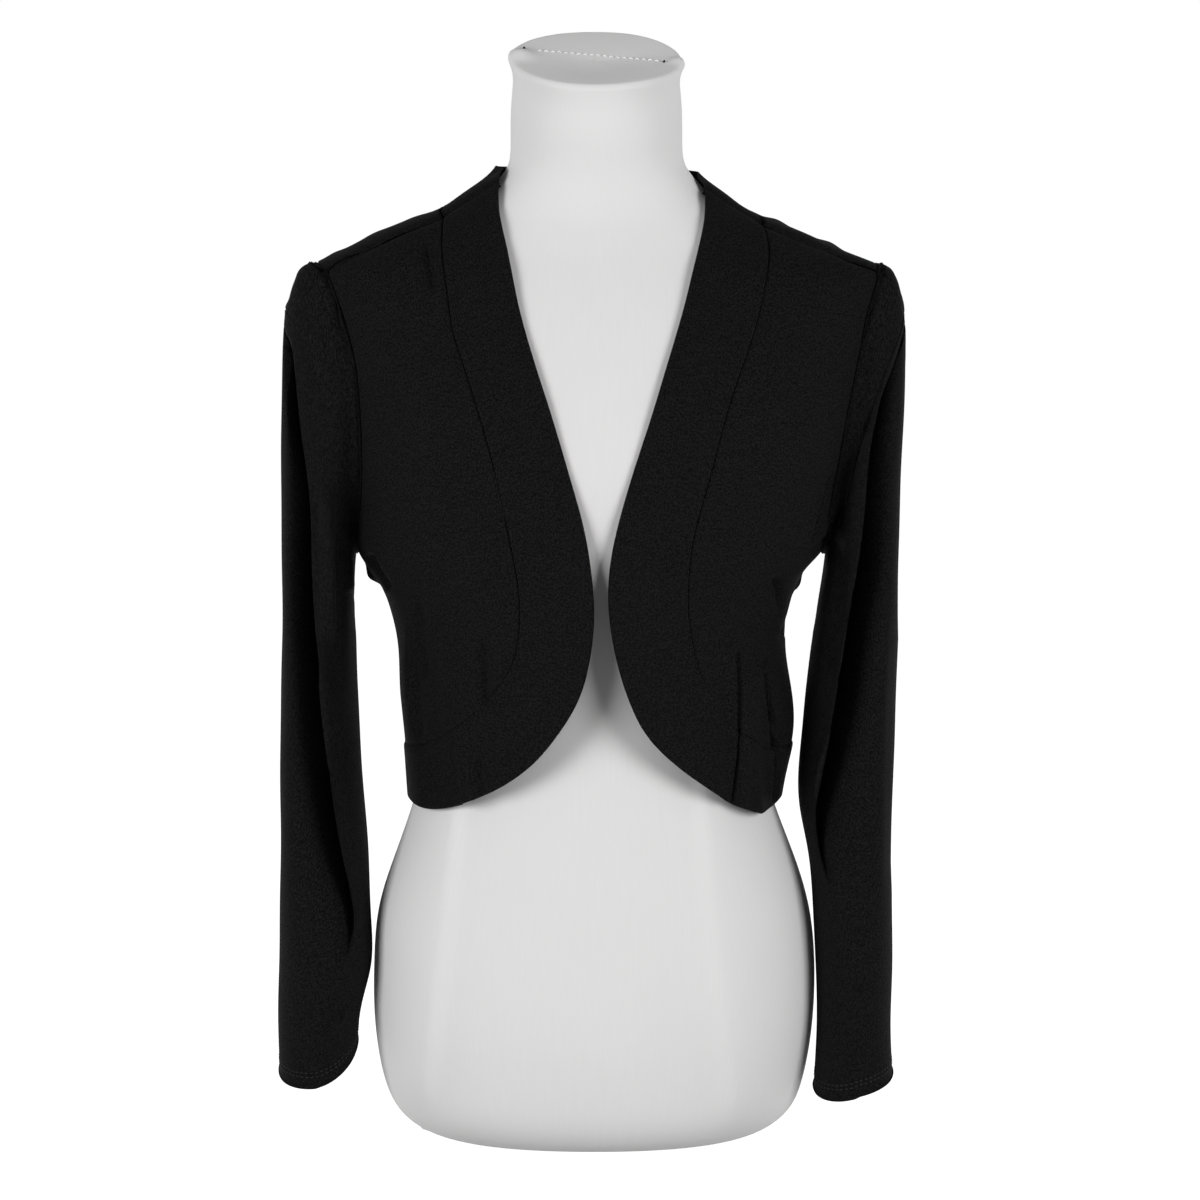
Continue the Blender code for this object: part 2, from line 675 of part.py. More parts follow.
def add_object(name, mesh_data, made_of):
    bmesh.ops.recalc_face_normals(mesh_data, faces=mesh_data.faces)
    if mesh_data.calc_volume(signed=True) < 0:
        bmesh.ops.reverse_faces(mesh_data, faces=mesh_data.faces)
    mesh = bpy.data.meshes.new(name)
    mesh_data.to_mesh(mesh)
    mesh_data.free()
    mesh.materials.append(made_of)
    mesh.shade_smooth()
    mesh.set_sharp_from_angle(angle=np.radians(40))
    thing = bpy.data.objects.new(name, mesh)
    bpy.context.scene.collection.objects.link(thing)
    return thing


def joined(grids):
    """The points of all grids, each once, and the quads between them."""
    points, quads = [], []
    for grid in grids:
        numbers = np.empty(grid.shape[:2], int)
        for place in np.ndindex(*numbers.shape):
            number = find(points, grid[place])
            if number is None:
                number = len(points)
                points.append(grid[place])
            numbers[place] = number
        for i, j in np.ndindex(numbers.shape[0] - 1, numbers.shape[1] - 1):
            quads.append((numbers[i, j], numbers[i, j + 1], numbers[i + 1, j + 1], numbers[i + 1, j]))
    return np.array(points), quads


def find(points, point):
    """The number of the point at a place, or None."""
    if not len(points):
        return None
    far = np.abs(np.array(points) - point).max(axis=1)
    return int(far.argmin()) if far.min() < SAME_PLACE else None


def looks_of(points, quads, middle):
    """Which way each point looks, as the mean of the quads round it, away from the middle."""
    looks = np.zeros_like(points)
    for quad in quads:
        first, second, third, fourth = points[list(quad)]
        looks[list(quad)] += unit(np.cross(third - first, fourth - second))
    looks = unit(looks)
    return looks * np.sign(((points - middle) * looks).sum())


def add_wall(name, grids, seams, middle, made_of):
    """A closed wall from grids of outer points, joined where they share points.

    Along its seams the wall is drawn back by half a gap. The inner points are the outer ones moved in by the
    wall's thickness, and rims close the wall round its open lines. It looks away from the middle.
    """
    points, quads = joined(grids)
    looks = looks_of(points, quads, middle)
    inward = np.zeros_like(points)
    for quad in quads:
        inward[list(quad)] += points[list(quad)].mean(axis=0) - points[list(quad)]
    shift = np.zeros_like(points)
    for seam_points, seam_looks, across in seams:
        for point, look, way in zip(seam_points, seam_looks, across):
            number = find(points, point)
            if number is not None:
                looks[number] = look
                shift[number] += way * np.sign(way @ inward[number]) * SEAM_GAP / 2
    points = points + shift

    mesh = bmesh.new()
    outer = [mesh.verts.new(point * MM) for point in points]
    inner = [mesh.verts.new(point * MM) for point in points - WALL * looks]
    used = {}
    for quad in quads:
        mesh.faces.new([outer[number] for number in quad])
        mesh.faces.new([inner[number] for number in reversed(quad)])
        for pair in zip(quad, quad[1:] + quad[:1]):
            used[frozenset(pair)] = None if frozenset(pair) in used else pair
    for pair in filter(None, used.values()):
        first, second = pair
        mesh.faces.new((outer[second], outer[first], inner[first], inner[second]))
    add_object(name, mesh, made_of)


def add_dress_form(made_of):
    """The dress form: rings from the flat base to the sloping neck cap, closed at both ends."""
    rings = {name: column[:, None] for name, column in FORM_RINGS.items()}
    sizes = [rings[name] for name in ("right", "left", "front", "back", "lean", "fullness")]
    x, y = ring_point(*sizes, np.linspace(0, 360, FORM_RING_POINTS, endpoint=False)[None, :])
    points = np.stack([x, y, rings["height"] + rings["slope"] * (y - rings["lean"])], axis=-1)
    mesh = bmesh.new()
    rings = [[mesh.verts.new(point * MM) for point in row] for row in points]
    for low, high in zip(rings, rings[1:]):
        for j in range(FORM_RING_POINTS):
            k = (j + 1) % FORM_RING_POINTS
            mesh.faces.new((low[j], low[k], high[k], high[j]))
    mesh.faces.new(rings[0][::-1])
    mesh.faces.new(rings[-1])
    add_object("dress_form", mesh, made_of)


def add_body_wall(name, grids, seams, made_of):
    """A wall of the body, from grids of turns and heights."""
    middle = np.array([0, 0, UNDERARM_HEIGHT])
    add_wall(name, [cloth(grid[..., 0], grid[..., 1]) for grid in grids], seams, middle, made_of)


def body_seams():
    """Every seam of the body but the armholes, as lines of turns and heights."""
    edge_back, seam_back = back_neck()
    seams = [seam_back, back_hem()[1]]
    across = np.linspace(0, 1, BORDER_SEGMENTS + 1)[:, None]
    for side in (RIGHT, LEFT):
        edge, seam = front_border(side)
        shoulder = 0 if side == RIGHT else -1
        border_top = (1 - across) * edge_back[shoulder] + across * seam_back[shoulder]
        border_side = (1 - across) * edge[-1] + across * seam[-1]
        seams += [seam, shoulder_seam(side), side_seam(side), border_top, border_side]
    return seams


def add_borders(seams, made_of):
    """The borders: strips between a free edge and a seam."""
    across = np.linspace(0, 1, BORDER_SEGMENTS + 1)[:, None, None]
    strips = {"border_back_neck": back_neck(), "border_back_hem": back_hem()}
    for side in (RIGHT, LEFT):
        strips["border_front_" + SIDE_NAMES[side]] = front_border(side)
    for name, (edge, seam) in strips.items():
        places = (1 - across) * edge[None] + across * seam[None]
        add_body_wall(name, [places], seams, made_of)


def add_front(side, front_armhole, seams, made_of):
    border_seam = front_border(side)[1]
    corner = ARMHOLE_SEGMENTS + SIDE_SEAM_SEGMENTS
    places = patch(
        top=shoulder_seam(side),
        bottom=border_seam[corner:],
        start=border_seam[: corner + 1],
        end=np.vstack([front_armhole, side_seam(side)[1:]]),
    )
    add_body_wall("front_" + SIDE_NAMES[side], [places], seams, made_of)


def add_back(back_armholes, seams, made_of):
    """The back: a yoke behind each shoulder, over its ridge, and one grid below the two."""
    neck = back_neck()[1]
    neck_parts = {RIGHT: neck[: YOKE_SEGMENTS + 1], LEFT: neck[: -YOKE_SEGMENTS - 2 : -1]}
    grids, yoke_lines, sides = [], {}, {}
    for side in (RIGHT, LEFT):
        share = np.linspace(0, 1, SHOULDER_SEGMENTS + 1)[:, None]
        down = back_armholes[side]
        yoke_lines[side] = (1 - share) * neck_parts[side][-1] + share * down[YOKE_SEGMENTS]
        yoke = patch(
            top=shoulder_seam(side),
            bottom=yoke_lines[side],
            start=neck_parts[side],
            end=down[: YOKE_SEGMENTS + 1],
        )
        grids.append(yoke)
        sides[side] = np.vstack([down[YOKE_SEGMENTS:], side_seam(side)[1:]])
    middle = neck[YOKE_SEGMENTS + 1 : -YOKE_SEGMENTS - 1]
    top = np.vstack([yoke_lines[RIGHT][::-1], middle, yoke_lines[LEFT]])
    grids.append(patch(top=top, bottom=back_hem()[1], start=sides[RIGHT], end=sides[LEFT]))
    add_body_wall("back", grids, seams, made_of)


def add_shrug(made_of):
    seams = [body_seam(line) for line in body_seams()]
    sleeves = {side: sleeve(side) for side in (RIGHT, LEFT)}
    seams += [armhole_seam(side, leave) for side, (tube, leave) in sleeves.items()]
    for side, (tube, leave) in sleeves.items():
        closed = np.concatenate([tube, tube[:, :1]], axis=1)
        add_wall("sleeve_" + SIDE_NAMES[side], [closed], seams, tube.mean(axis=(0, 1)), made_of)
        add_front(side, armhole(side)[0], seams, made_of)
    add_back({side: armhole(side)[1] for side in (RIGHT, LEFT)}, seams, made_of)
    add_borders(seams, made_of)


def main():
    for thing in list(bpy.data.objects):
        bpy.data.objects.remove(thing)
    add_dress_form(material("white jersey cover", (0.74, 0.73, 0.74), 0.8))
    add_shrug(material("black jersey", (0.009, 0.009, 0.0105), 0.75))


main()
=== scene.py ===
"""Looks for a black knitted shrug worn on a limbless dress form: an add-on's layout, run as a script.

+Z is up, the front faces -Y, and left and right are the wearer's, so left is +X. Sizes are in millimetres,
and MM turns them to metres when a mesh is made. A place on the body's cloth is a turn and a height. The turn
is an angle seen from above: 0 is the left side, 90 the centre back, 180 the right side and -90 the centre
front.
"""

import bmesh
import bpy
import numpy as np
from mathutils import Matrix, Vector


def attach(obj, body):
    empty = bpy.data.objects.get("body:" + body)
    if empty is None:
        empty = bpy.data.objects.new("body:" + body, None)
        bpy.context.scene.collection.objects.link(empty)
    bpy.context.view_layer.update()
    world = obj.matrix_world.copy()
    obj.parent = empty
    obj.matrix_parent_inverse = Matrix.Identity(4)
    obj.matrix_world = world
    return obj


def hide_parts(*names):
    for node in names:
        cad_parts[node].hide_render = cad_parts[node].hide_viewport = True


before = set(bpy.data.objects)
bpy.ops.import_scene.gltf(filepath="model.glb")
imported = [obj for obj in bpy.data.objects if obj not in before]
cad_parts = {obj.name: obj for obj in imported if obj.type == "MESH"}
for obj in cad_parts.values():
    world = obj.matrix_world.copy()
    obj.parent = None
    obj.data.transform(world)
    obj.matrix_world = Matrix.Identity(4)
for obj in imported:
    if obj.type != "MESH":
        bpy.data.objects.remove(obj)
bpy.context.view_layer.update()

bl_info = {
    "name": "Knitted shrug on a dress form",
    "version": (1, 0, 0),
    "blender": (4, 5, 0),
    "location": "3D View > Sidebar > Shrug",
    "description": "Builds a knitted shrug, its dress form and a small studio round a packed part",
    "category": "Add Mesh",
}

MM = 0.001
RIGHT = -1
LEFT = 1
SIDE_NAMES = {RIGHT: "right", LEFT: "left"}
UNDERARM_HEIGHT = 428


def table(names, *rows):
    """A table as one array for each named column."""
    return dict(zip(names.split(), np.array(rows, float).T))


def each_row(rows):
    """The rows of a table, each with its columns' names."""
    for values in zip(*rows.values()):
        yield dict(zip(rows, values))


# ---------------------------------------------------------------------------------------------------------
# The form that the part's solids have
# ---------------------------------------------------------------------------------------------------------

CAP_HEIGHT = 785.5  # where the flat of the neck cap starts to turn down
CAP_HALF_WIDTH = 62  # about how wide the cap is to each side
CAP_DROOP = {RIGHT: 3, LEFT: 6}  # how far the cap comes down at each end
DROOP_START = 750  # the height from which the neck takes part in that
DROOP_FADE = 30  # and the height in which it comes to do so fully
RIM_LENGTH = 14  # the last stretch of the form's profile, over the rim of its cap, in closer rings
RIM_RINGS = 20
CAP_RINGS = 22  # rings that close the cap
BASE_RINGS = 8  # and the base
LAST_RING = 0.001  # the innermost of them, as a share of the first
COVER_SPACING = 4.9  # between the rings of the form's cover
COVER_COLUMNS = 150  # points round each of them
SHELL_SPACING = 6  # the same for its shell
SHELL_COLUMNS = 84
SHELL_GAP = 0.3  # between the shell and its cover
COVER_GIRTH = 900  # of the cover's knit, which its ribs divide

# The dress form, from its base to its neck cap: half-width to each side, depth to front and back, how far
# the ring's middle leans to the back, the slope of the ring's plane and the fullness of its corners.
FORM_RINGS = table(
    "height right left front back lean slope fullness",
    (0, 84, 84, 50, 58, 4, 0, 2.2),
    (3, 104, 104, 65, 74, 4, 0, 2.2),
    (12, 129, 129, 83, 94, 4, 0, 2.2),
    (25, 143, 143, 92, 105, 3, 0, 2.2),
    (48, 152, 152, 98, 112, 2, 0, 2.2),
    (90, 158.5, 158.5, 102, 117, 0, 0, 2.2),
    (132, 159, 159.5, 102, 116, 0, 0, 2.2),
    (170, 155.5, 155.5, 99, 110, 0, 0, 2.2),
    (206, 144.5, 145, 95, 101, 0, 0, 2.2),
    (243, 131, 131, 90, 89, 0, 0, 2.25),
    (280, 120, 120, 86, 79, 0, 0, 2.3),
    (320, 114, 114, 84, 74, 0, 0, 2.3),
    (360, 121, 121, 91, 78, 0, 0, 2.3),
    (400, 134, 134, 103, 87, 0, 0, 2.35),
    (440, 145, 145, 112, 94, 0, 0, 2.4),
    (480, 154, 154, 115, 98, 0, 0, 2.4),
    (520, 164, 166, 109, 100, 0, 0, 2.4),
    (560, 175, 179, 98, 99, 2, 0, 2.35),
    (595, 184, 191, 85, 95, 4, 0, 2.3),
    (620, 184, 193, 74, 89, 6, 0, 2.25),
    (636, 172, 178, 66, 84, 7, 0, 2.2),
    (650, 150, 153, 60, 78, 8, 0, 2.2),
    (661, 126, 127, 56, 74, 9, 0, 2.15),
    (672, 102, 101, 53, 69, 9, 0, 2.1),
    (682, 84, 84, 51, 64, 8, 0, 2.05),
    (692, 70, 74, 50, 59, 6, 0, 2),
    (702, 62, 66, 50, 55, 4, 0, 2),
    (720, 59.5, 63, 51, 51, 1, 0.05, 2),
    (748, 59, 62.5, 54.5, 44, 4, 0.25, 2),
    (778, 59, 62.5, 61.5, 34, 8, 0.45, 2.1),
    (784.6, 58.8, 62.3, 61.4, 33.8, 8, 0.47, 2.1),
    (785.8, 57.6, 61.1, 60.2, 32.6, 8, 0.47, 2.1),
)

# The outer face of the cloth round the body, as level rings.
CLOTH_RINGS = table(
    "height right left front back lean fullness",
    (240, 132, 133, 108, 98, 0, 2.3),
    (270, 134.5, 138, 110, 97, 0, 2.3),
    (300, 137, 143.5, 112, 97, 0, 2.3),
    (330, 139.5, 142, 113, 97, 0, 2.3),
    (360, 141, 137.5, 115, 98, 0, 2.3),
    (385, 146, 139.5, 117, 99, 0, 2.3),
    (403, 153, 145, 118.5, 100, 0, 2.35),
    (415, 161, 152, 119, 100.5, 0, 2.35),
    (428, 169, 163, 119.5, 101, 0, 2.4),
    (455, 171.5, 172, 120, 102, 0, 2.4),
    (500, 174, 183, 116, 104, 0, 2.4),
    (532, 177, 190, 110, 104, 0, 2.4),
    (566, 184, 199, 100, 103, 2, 2.35),
    (595, 194, 207, 89, 99, 4, 2.3),
    (620, 202, 211, 80, 94, 6, 2.25),
    (633, 200, 203, 74, 89, 7, 2.2),
    (643, 181, 179, 69, 86, 8, 2.2),
    (654, 159, 154, 65, 82, 9, 2.2),
    (664, 134, 130, 61, 78, 9, 2.15),
    (672, 113, 111, 58, 74, 9, 2.1),
    (682, 96, 96, 56, 70, 8, 2.05),
    (692, 81, 82, 54, 66, 6, 2),
    (700, 73, 74, 54, 63, 4, 2),
    (709, 68, 69, 54, 61, 2, 2),
)

# The border down each front edge, from the shoulder seam to the side seam: the free edge and the seam along
# the border's other side, both seen from the front. The last row is at the side seam, so its x is left at 0.
FRONT_BORDERS = {
    RIGHT: table(
        "edge_x edge_height seam_x seam_height",
        (68.5, 690, 106, 667),
        (67.4, 668, 105.7, 642),
        (61.4, 641.5, 102, 616),
        (53.3, 603, 97, 585),
        (43.3, 567.7, 87.5, 556),
        (28.7, 522.5, 72.5, 508),
        (16.9, 483, 63, 470),
        (7.4, 448, 56.7, 439),
        (2, 414, 51.3, 409),
        (0.7, 385, 50.5, 383),
        (3.8, 358, 53.2, 363),
        (11.5, 331, 60.5, 346),
        (25, 308, 70.5, 333),
        (44, 285.4, 84, 318),
        (75.2, 263.9, 103, 303.5),
        (104, 252, 121, 294),
        (0, 252, 0, 290),
    ),
    LEFT: table(
        "edge_x edge_height seam_x seam_height",
        (80, 686, 119.3, 661.4),
        (78.4, 662, 122.4, 641),
        (71.8, 633.8, 118.5, 616),
        (64, 603, 112, 589),
        (50.5, 558, 96.5, 545),
        (40, 524, 86, 510),
        (26.6, 483, 75, 469),
        (17.3, 450, 67.8, 441),
        (11.8, 421, 64.9, 416),
        (11.2, 393, 64.5, 393),
        (15.2, 365, 67, 374),
        (22.9, 337, 71.8, 353),
        (33.9, 312, 78.5, 337.5),
        (49.2, 293, 87, 322),
        (78, 269.5, 101.5, 305),
        (108, 250, 120.5, 293.5),
        (0, 252, 0, 291),
    ),
}
# The two parts of a border's length: down the front to its corner, then along the hem to the side.
BORDER_CORNER = 0.72

# The shoulder seam from the border to the armhole, seen from the front.
SHOULDER_SEAMS = {
    RIGHT: table("x height", (106, 667), (137, 654.7), (159.5, 644.5), (188.5, 628)),
    LEFT: table("x height", (119.3, 661.4), (143, 650.3), (166.7, 641), (201, 628)),
}

# The front half of each armhole, from the shoulder seam down to the underarm.
FRONT_ARMHOLES = {
    RIGHT: table(
        "x height",
        (188.5, 628),
        (176.5, 594),
        (168.8, 566),
        (165, 532),
        (164, 502),
        (165.2, 468),
        (168.2, 444),
        (169, UNDERARM_HEIGHT),
    ),
    LEFT: table(
        "x height",
        (201, 628),
        (195.5, 604),
        (187, 567),
        (180, 533),
        (174.5, 499),
        (169, 468),
        (165.5, 445),
        (163, UNDERARM_HEIGHT),
    ),
}
# The back half, as how far the turn is behind the side.
BACK_ARMHOLE = table(
    "behind height",
    (0, 634),
    (15, 622),
    (25, 585),
    (28, 535),
    (26, 490),
    (17, 456),
    (0, UNDERARM_HEIGHT),
)

# The border round the back of the neck, from a shoulder seam to the centre back: how much of the way, then
# the height of its free edge and of its seam.
BACK_NECK = {
    RIGHT: table(
        "way edge_height seam_height",
        (0, 700, 667),
        (0.12, 705, 671),
        (0.27, 704.5, 675),
        (0.6, 705, 669),
        (1, 706, 661),
    ),
    LEFT: table(
        "way edge_height seam_height",
        (0, 694, 667),
        (0.12, 698.5, 671),
        (0.27, 700, 675),
        (0.6, 704, 669),
        (1, 706, 661),
    ),
}
HEM_BACK_HEIGHTS = {"edge": 254, "seam": 299}
# How fast that border takes up the height it has at the shoulder seam.
NECK_POWERS = {"edge": 8, "seam": 2}

# Large soft folds of the body seen from the front (face -1) or the back (face 1): a line from a high point to
# a low one, then how wide it is to each side and how far it stands out (or in, below zero).
BODY_FOLDS = table(
    "face top_x top_height low_x low_height reach rise",
    (-1, 92, 372, 96, 250, 9, -4),
    (-1, 117, 352, 127, 250, 8, -4),
    (-1, 106, 360, 111, 250, 8, 3),
    (-1, -132, 400, -108, 262, 12, -3),
    (-1, -98, 330, -88, 256, 10, 2.5),
    (1, -62, 560, -70, 250, 24, 4),
    (1, 58, 545, 66, 250, 22, 4.5),
    (1, -4, 420, 2, 250, 22, -4),
    (1, 112, 470, 106, 250, 14, -4),
    (1, -110, 450, -104, 250, 15, -3.5),
)
FOLD_FADE = 45  # how much height a fold takes to fade in below its top

# Level sections of each sleeve below its head: the outer and inner edge, the front and the back, and the deep
# fold down its front: where its ridge is and how far the cloth behind the ridge is set back.
SLEEVE_SECTIONS = {
    RIGHT: table(
        "height outer inner front back ridge set_back",
        (40, 225.5, 170.5, -61, 5, 196, 0),
        (75, 226.4, 170.3, -62, 8, 192, 0),
        (103, 226.4, 167, -63, 12, 184, 0),
        (130, 226, 160.5, -64, 16, 176, 0),
        (163, 226, 160, -64, 22, 170, 8),
        (210, 225.5, 162, -63, 30, 177, 20),
        (285, 225, 168, -62, 40, 187.6, 26),
        (366, 224.2, 171, -60, 47, 195, 27),
        (424, 223.4, 171, -58, 50, 198.5, 25),
        (474, 222.5, 168, -56, 52, 200.6, 20),
        (513, 221.5, 166, -54, 52, 206.5, 20),
        (552, 220.5, 166, -50, 50, 211, 14),
        (574, 219.5, 168, -48, 48, 213.7, 8),
        (588, 218, 170, -46, 46, 218, 1),
        (640, 214, 180, -36, 40, 222, 0),
    ),
    LEFT: table(
        "height outer inner front back ridge set_back",
        (30, 215.5, 157, -61, 5, 186, 0),
        (55, 214.5, 158, -62, 6, 184, 0),
        (85, 213.3, 160, -62, 9, 182, 0),
        (130, 213.8, 159.5, -63, 14, 176, 0),
        (181, 214, 157, -63, 22, 168, 0),
        (215, 214.2, 153, -63, 28, 160, 7),
        (246, 215.2, 147.5, -62, 33, 157, 20),
        (300, 216.4, 149.5, -61, 40, 166, 26),
        (377, 219, 158.5, -60, 47, 178, 27),
        (415, 220.8, 163, -58, 50, 185, 26),
        (462, 222.6, 166, -56, 52, 190.5, 19),
        (500, 223.4, 168, -54, 52, 194.5, 14.5),
        (537, 223.4, 172, -51, 50, 201.5, 9),
        (567, 223, 175, -48, 48, 209.5, 5),
        (592, 221.5, 178, -46, 46, 218.5, 1),
        (640, 219, 185, -36, 40, 224, 0),
    ),
}
SLEEVE_HEAD_END = 365  # height where the set-in head has become a plain tube
FIRST_SLEEVE_ANGLE = 20  # angle of the shoulder seam round the sleeve, from its outer side to the front
BEHIND_RIDGE = 7  # how many degrees past the ridge the cloth is set back the most
RIDGE_TURN = 3.5  # the same as a width, in the sleeve's head
RIDGE_APART = 0.3  # the least distance between the ridge's column and the one just past it
FIRST_RIDGE = -2.4  # the column where the fold starts, behind the sleeve's outer side
FOLD_START = -3  # the column from which the cloth's columns slide to the fold
FOLD_DEPTH = 1.9  # how much deeper the cloth's own fold is than the set-back
FOLD_BEND = 4  # how late the cloth turns into the fold, so that the outer part stays a roll
FOLD_TUCK = 5  # how far the cloth goes in under the ridge
TUCK_START = 3  # how many columns behind the ridge that starts
TUCK_COLUMNS = 2  # and how many it takes
DEEP_SET_BACK = 20  # the set-back that has the full tuck
HEAD_EASE = 1.3  # how long a sleeve's head keeps to its start

# How the sleeve leaves the armhole, by the angle round it: outwards, up and to the back, then how straight
# it comes down to the tube and how far it is drawn in on the way.
SLEEVE_HEAD = table(
    "angle out up behind lift draw_in",
    (0, 36, 6, 0, 170, 3),
    (90, 17, -16, -6, 80, 0),
    (180, 5, -14, 0, 22, 0),
    (270, 17, -16, 6, 80, 0),
    (360, 36, 6, 0, 170, 3),
)
# The height of each cuff's edge at its outer side, front, inner side and back.
CUFFS = {
    RIGHT: dict(outer=58, front=51, inner=76, back=82),
    LEFT: dict(outer=56, front=40, inner=44, back=58),
}

# The part's own steps, which the finer grids below divide.
ARMHOLE_STEPS = 13
SIDE_SEAM_STEPS = 9
SHOULDER_STEPS = 9
YOKE_STEPS = 4
HALF_NECK_STEPS = 8
HEAD_STEPS = 9
TUBE_STEPS = 14
RIDGE_STEP = 5
RIDGE_SLIDE_STEPS = 1.2
RIDGE_START_STEPS = 2.5
SOFTENING_STEPS = 4

# ---------------------------------------------------------------------------------------------------------
# What the cloth adds to that form
# ---------------------------------------------------------------------------------------------------------

SEAM_GAP = 1.25
SEAM_DEPTH = 0.9  # how far the cloth dips into a seam
SEAM_REACH = 1.2
SEAM_ALLOWANCE = 2.6  # how far the cloth turns in along a seam
SEAM_ROOM = 0.02  # between two turned allowances
EDGE_ROUND = 0.9  # radius of a folded free edge
ARMHOLE_REACH = 9  # how far from the armhole a sleeve still faces as the body does
SLEEVE_MIDDLE = -5  # the y that parts the front of the sleeves from their back
DEGREE_WIDTH = 0.8  # of the sleeves' cloth, round the arm
CHEST_HEIGHT = 400
ALL_TURNS = (-120, 300)  # the turns that places on the body's cloth lie between
STITCH_PITCH = 3.7
# A stitch's shape: places along it, as shares of its length, and how thick the thread is there.
STITCH_SHAPE = ((-0.5, 0.35), (-0.32, 0.9), (0, 1), (0.32, 0.9), (0.5, 0.35))
STITCH_RISE = 0.5  # how far its middle stands out, as a share of the thread's radius
STITCH_ARCH = 3.6  # and how fast it goes down to its ends
THREAD_SIDES = 6
THREAD_RADIUS = 0.36
THREAD_DEPTH = 0.25  # how far the thread lies below the cloth's face
STITCHED_SHARE = (0.1, 0.86)  # the part of a front border's seam where its stitches show
SEAM_POINTS = 400
# The flat cuts of the borders, in metres.
FRONT_BORDER_CUT = (0.048, 0.6)
BORDER_CUTS = {"border_back_neck": (0.05, 0.32), "border_back_hem": (0.045, 0.375)}
HEM_STITCHES = (8, 11)  # how far the two rows of stitches are above a sleeve's edge
CLOSE_STEPS = (0.35, 0.8, 1.4, 2.2)  # distances of the extra lines beside a seam or an edge
TUBE_ROW = 22  # about how high one of the part's rows is down a sleeve
HEM_ROOM = 0.13  # how much of such a row the extra lines take at a sleeve's hem

# Slow, slight waves of worn cloth: how high, how far along each way they turn by a radian, and their start.
WAVES = table(
    "rise x y height start",
    (0.22, 9.1, np.inf, 31, 1.3),
    (0.18, np.inf, 8.3, -23, 0.4),
    (0.14, 19, np.inf, 12.7, 2.1),
)

NEAREST_STEP = 0.5  # how far to each side of a place the slope towards the cloth is read
NEAREST_ROUNDS = 6
CLOSE_ROOM = 0.4  # the least room after the extra lines beside a seam, as a share of a step
JOIN_DISTANCE = 0.02  # how near points of two grids are when they are one
CREASE_POINTS = 13  # of the curve down a crease
CREASE_FADE_IN = 0.2  # the shares of its length in which it comes and goes
CREASE_FADE_OUT = 0.12
FACING_REACH = 12  # how far past the middle a crease of one face is whole

# Creases of the body: three points seen from the front (face -1), the back (face 1) or either (face 0), how
# far it reaches to its right and to its left going down, and how far it stands out.
BODY_CREASES = table(
    "face x1 z1 x2 z2 x3 z3 right left rise",
    # The two crisp folds of the left front, each a raised edge with a narrow dip beside it.
    (-1, 98, 372, 100, 335, 99, 298, 10, 1.5, 2.4),
    (-1, 99.5, 368, 101.5, 335, 100.5, 294, 0.9, 1.3, -4.6),
    (-1, 99, 302, 98, 275, 91, 244, 9, 1.5, 2),
    (-1, 100.5, 304, 99.5, 275, 93, 244, 1, 1.5, -4.6),
    (-1, 117, 356, 121, 325, 125, 290, 9, 1.8, 2.4),
    (-1, 118.5, 358, 122.5, 325, 127, 288, 1.5, 2.6, -8),
    (-1, 126, 298, 129, 275, 126, 248, 7, 2, 1.6),
    (-1, 127, 302, 129.5, 275, 126.5, 250, 1.5, 2.6, -7),
    (-1, 124, 318, 129, 305, 134, 296, 1.5, 2, -2.6),
    (-1, 96, 398, 98, 388, 99, 372, 4, 4, 1.4),
    # Under the left arm.
    (-1, 124, 412, 128, 392, 133, 368, 6, 1.8, 1.6),
    (-1, 126, 416, 130.5, 392, 135, 364, 1.5, 4, -7),
    (-1, 169, 486, 160, 463, 153, 436, 1.5, 3, -6),
    (-1, 164, 474, 158, 457, 153, 438, 4, 2, 1.4),
    (-1, 166, 440, 160, 434, 152, 430, 2, 2.4, -2.6),
    # Beside the right front's border, at the shoulder.
    (-1, -119, 650, -117, 634, -112, 612, 3, 2.6, -3.6),
    # Where the seams over the shoulders pull the cloth in.
    (0, -196, 624, -148, 651.5, -98, 670, 1.8, 1.8, -2.2),
    (0, -112, 664, -90, 677, -66, 692, 1.8, 1.8, -2),
    (0, 208, 624, 160, 645.5, 110, 665, 1.8, 1.8, -2.2),
    (0, 124, 659, 98, 674, 76, 689, 1.8, 1.8, -2),
    # The right front's soft upright folds, from its underarm to its hem.
    (-1, -160, 430, -155, 414, -144, 402, 3, 3, -7),
    (-1, -121, 400, -124, 372, -118, 340, 3.5, 4, -3.4),
    (-1, -131, 386, -134, 350, -130, 318, 5, 5, 1.6),
    (-1, -127, 366, -128, 335, -125, 296, 3, 4, -5),
    (-1, -117, 352, -117, 325, -114, 290, 5, 5, 1.8),
    (-1, -78, 374, -77, 350, -75, 326, 3, 4, -3.4),
    (-1, -98, 296, -97, 268, -96, 236, 5, 3.2, -4.2),
    (-1, -80, 296, -79, 270, -78, 240, 5, 3.2, -3.4),
    # Down the front borders, where they turn to the hem.
    (-1, -66, 372, -64, 345, -70, 318, 6, 8, 1),
    # The back: soft folds from the shoulder blades to the waist and gathers at the underarms.
    (1, -95, 600, -60, 520, -44, 400, 14, 18, 1.8),
    (1, 92, 596, 62, 510, 40, 380, 16, 14, 2),
    (1, -20, 560, -6, 470, -10, 330, 12, 12, -1.6),
    (1, 150, 470, 122, 440, 96, 420, 5, 6, 1.8),
    (1, 150, 455, 124, 424, 100, 398, 5, 5, -1.6),
    (1, -152, 466, -124, 440, -92, 428, 6, 5, 1.8),
    (1, -150, 450, -126, 420, -98, 402, 5, 5, -1.5),
)
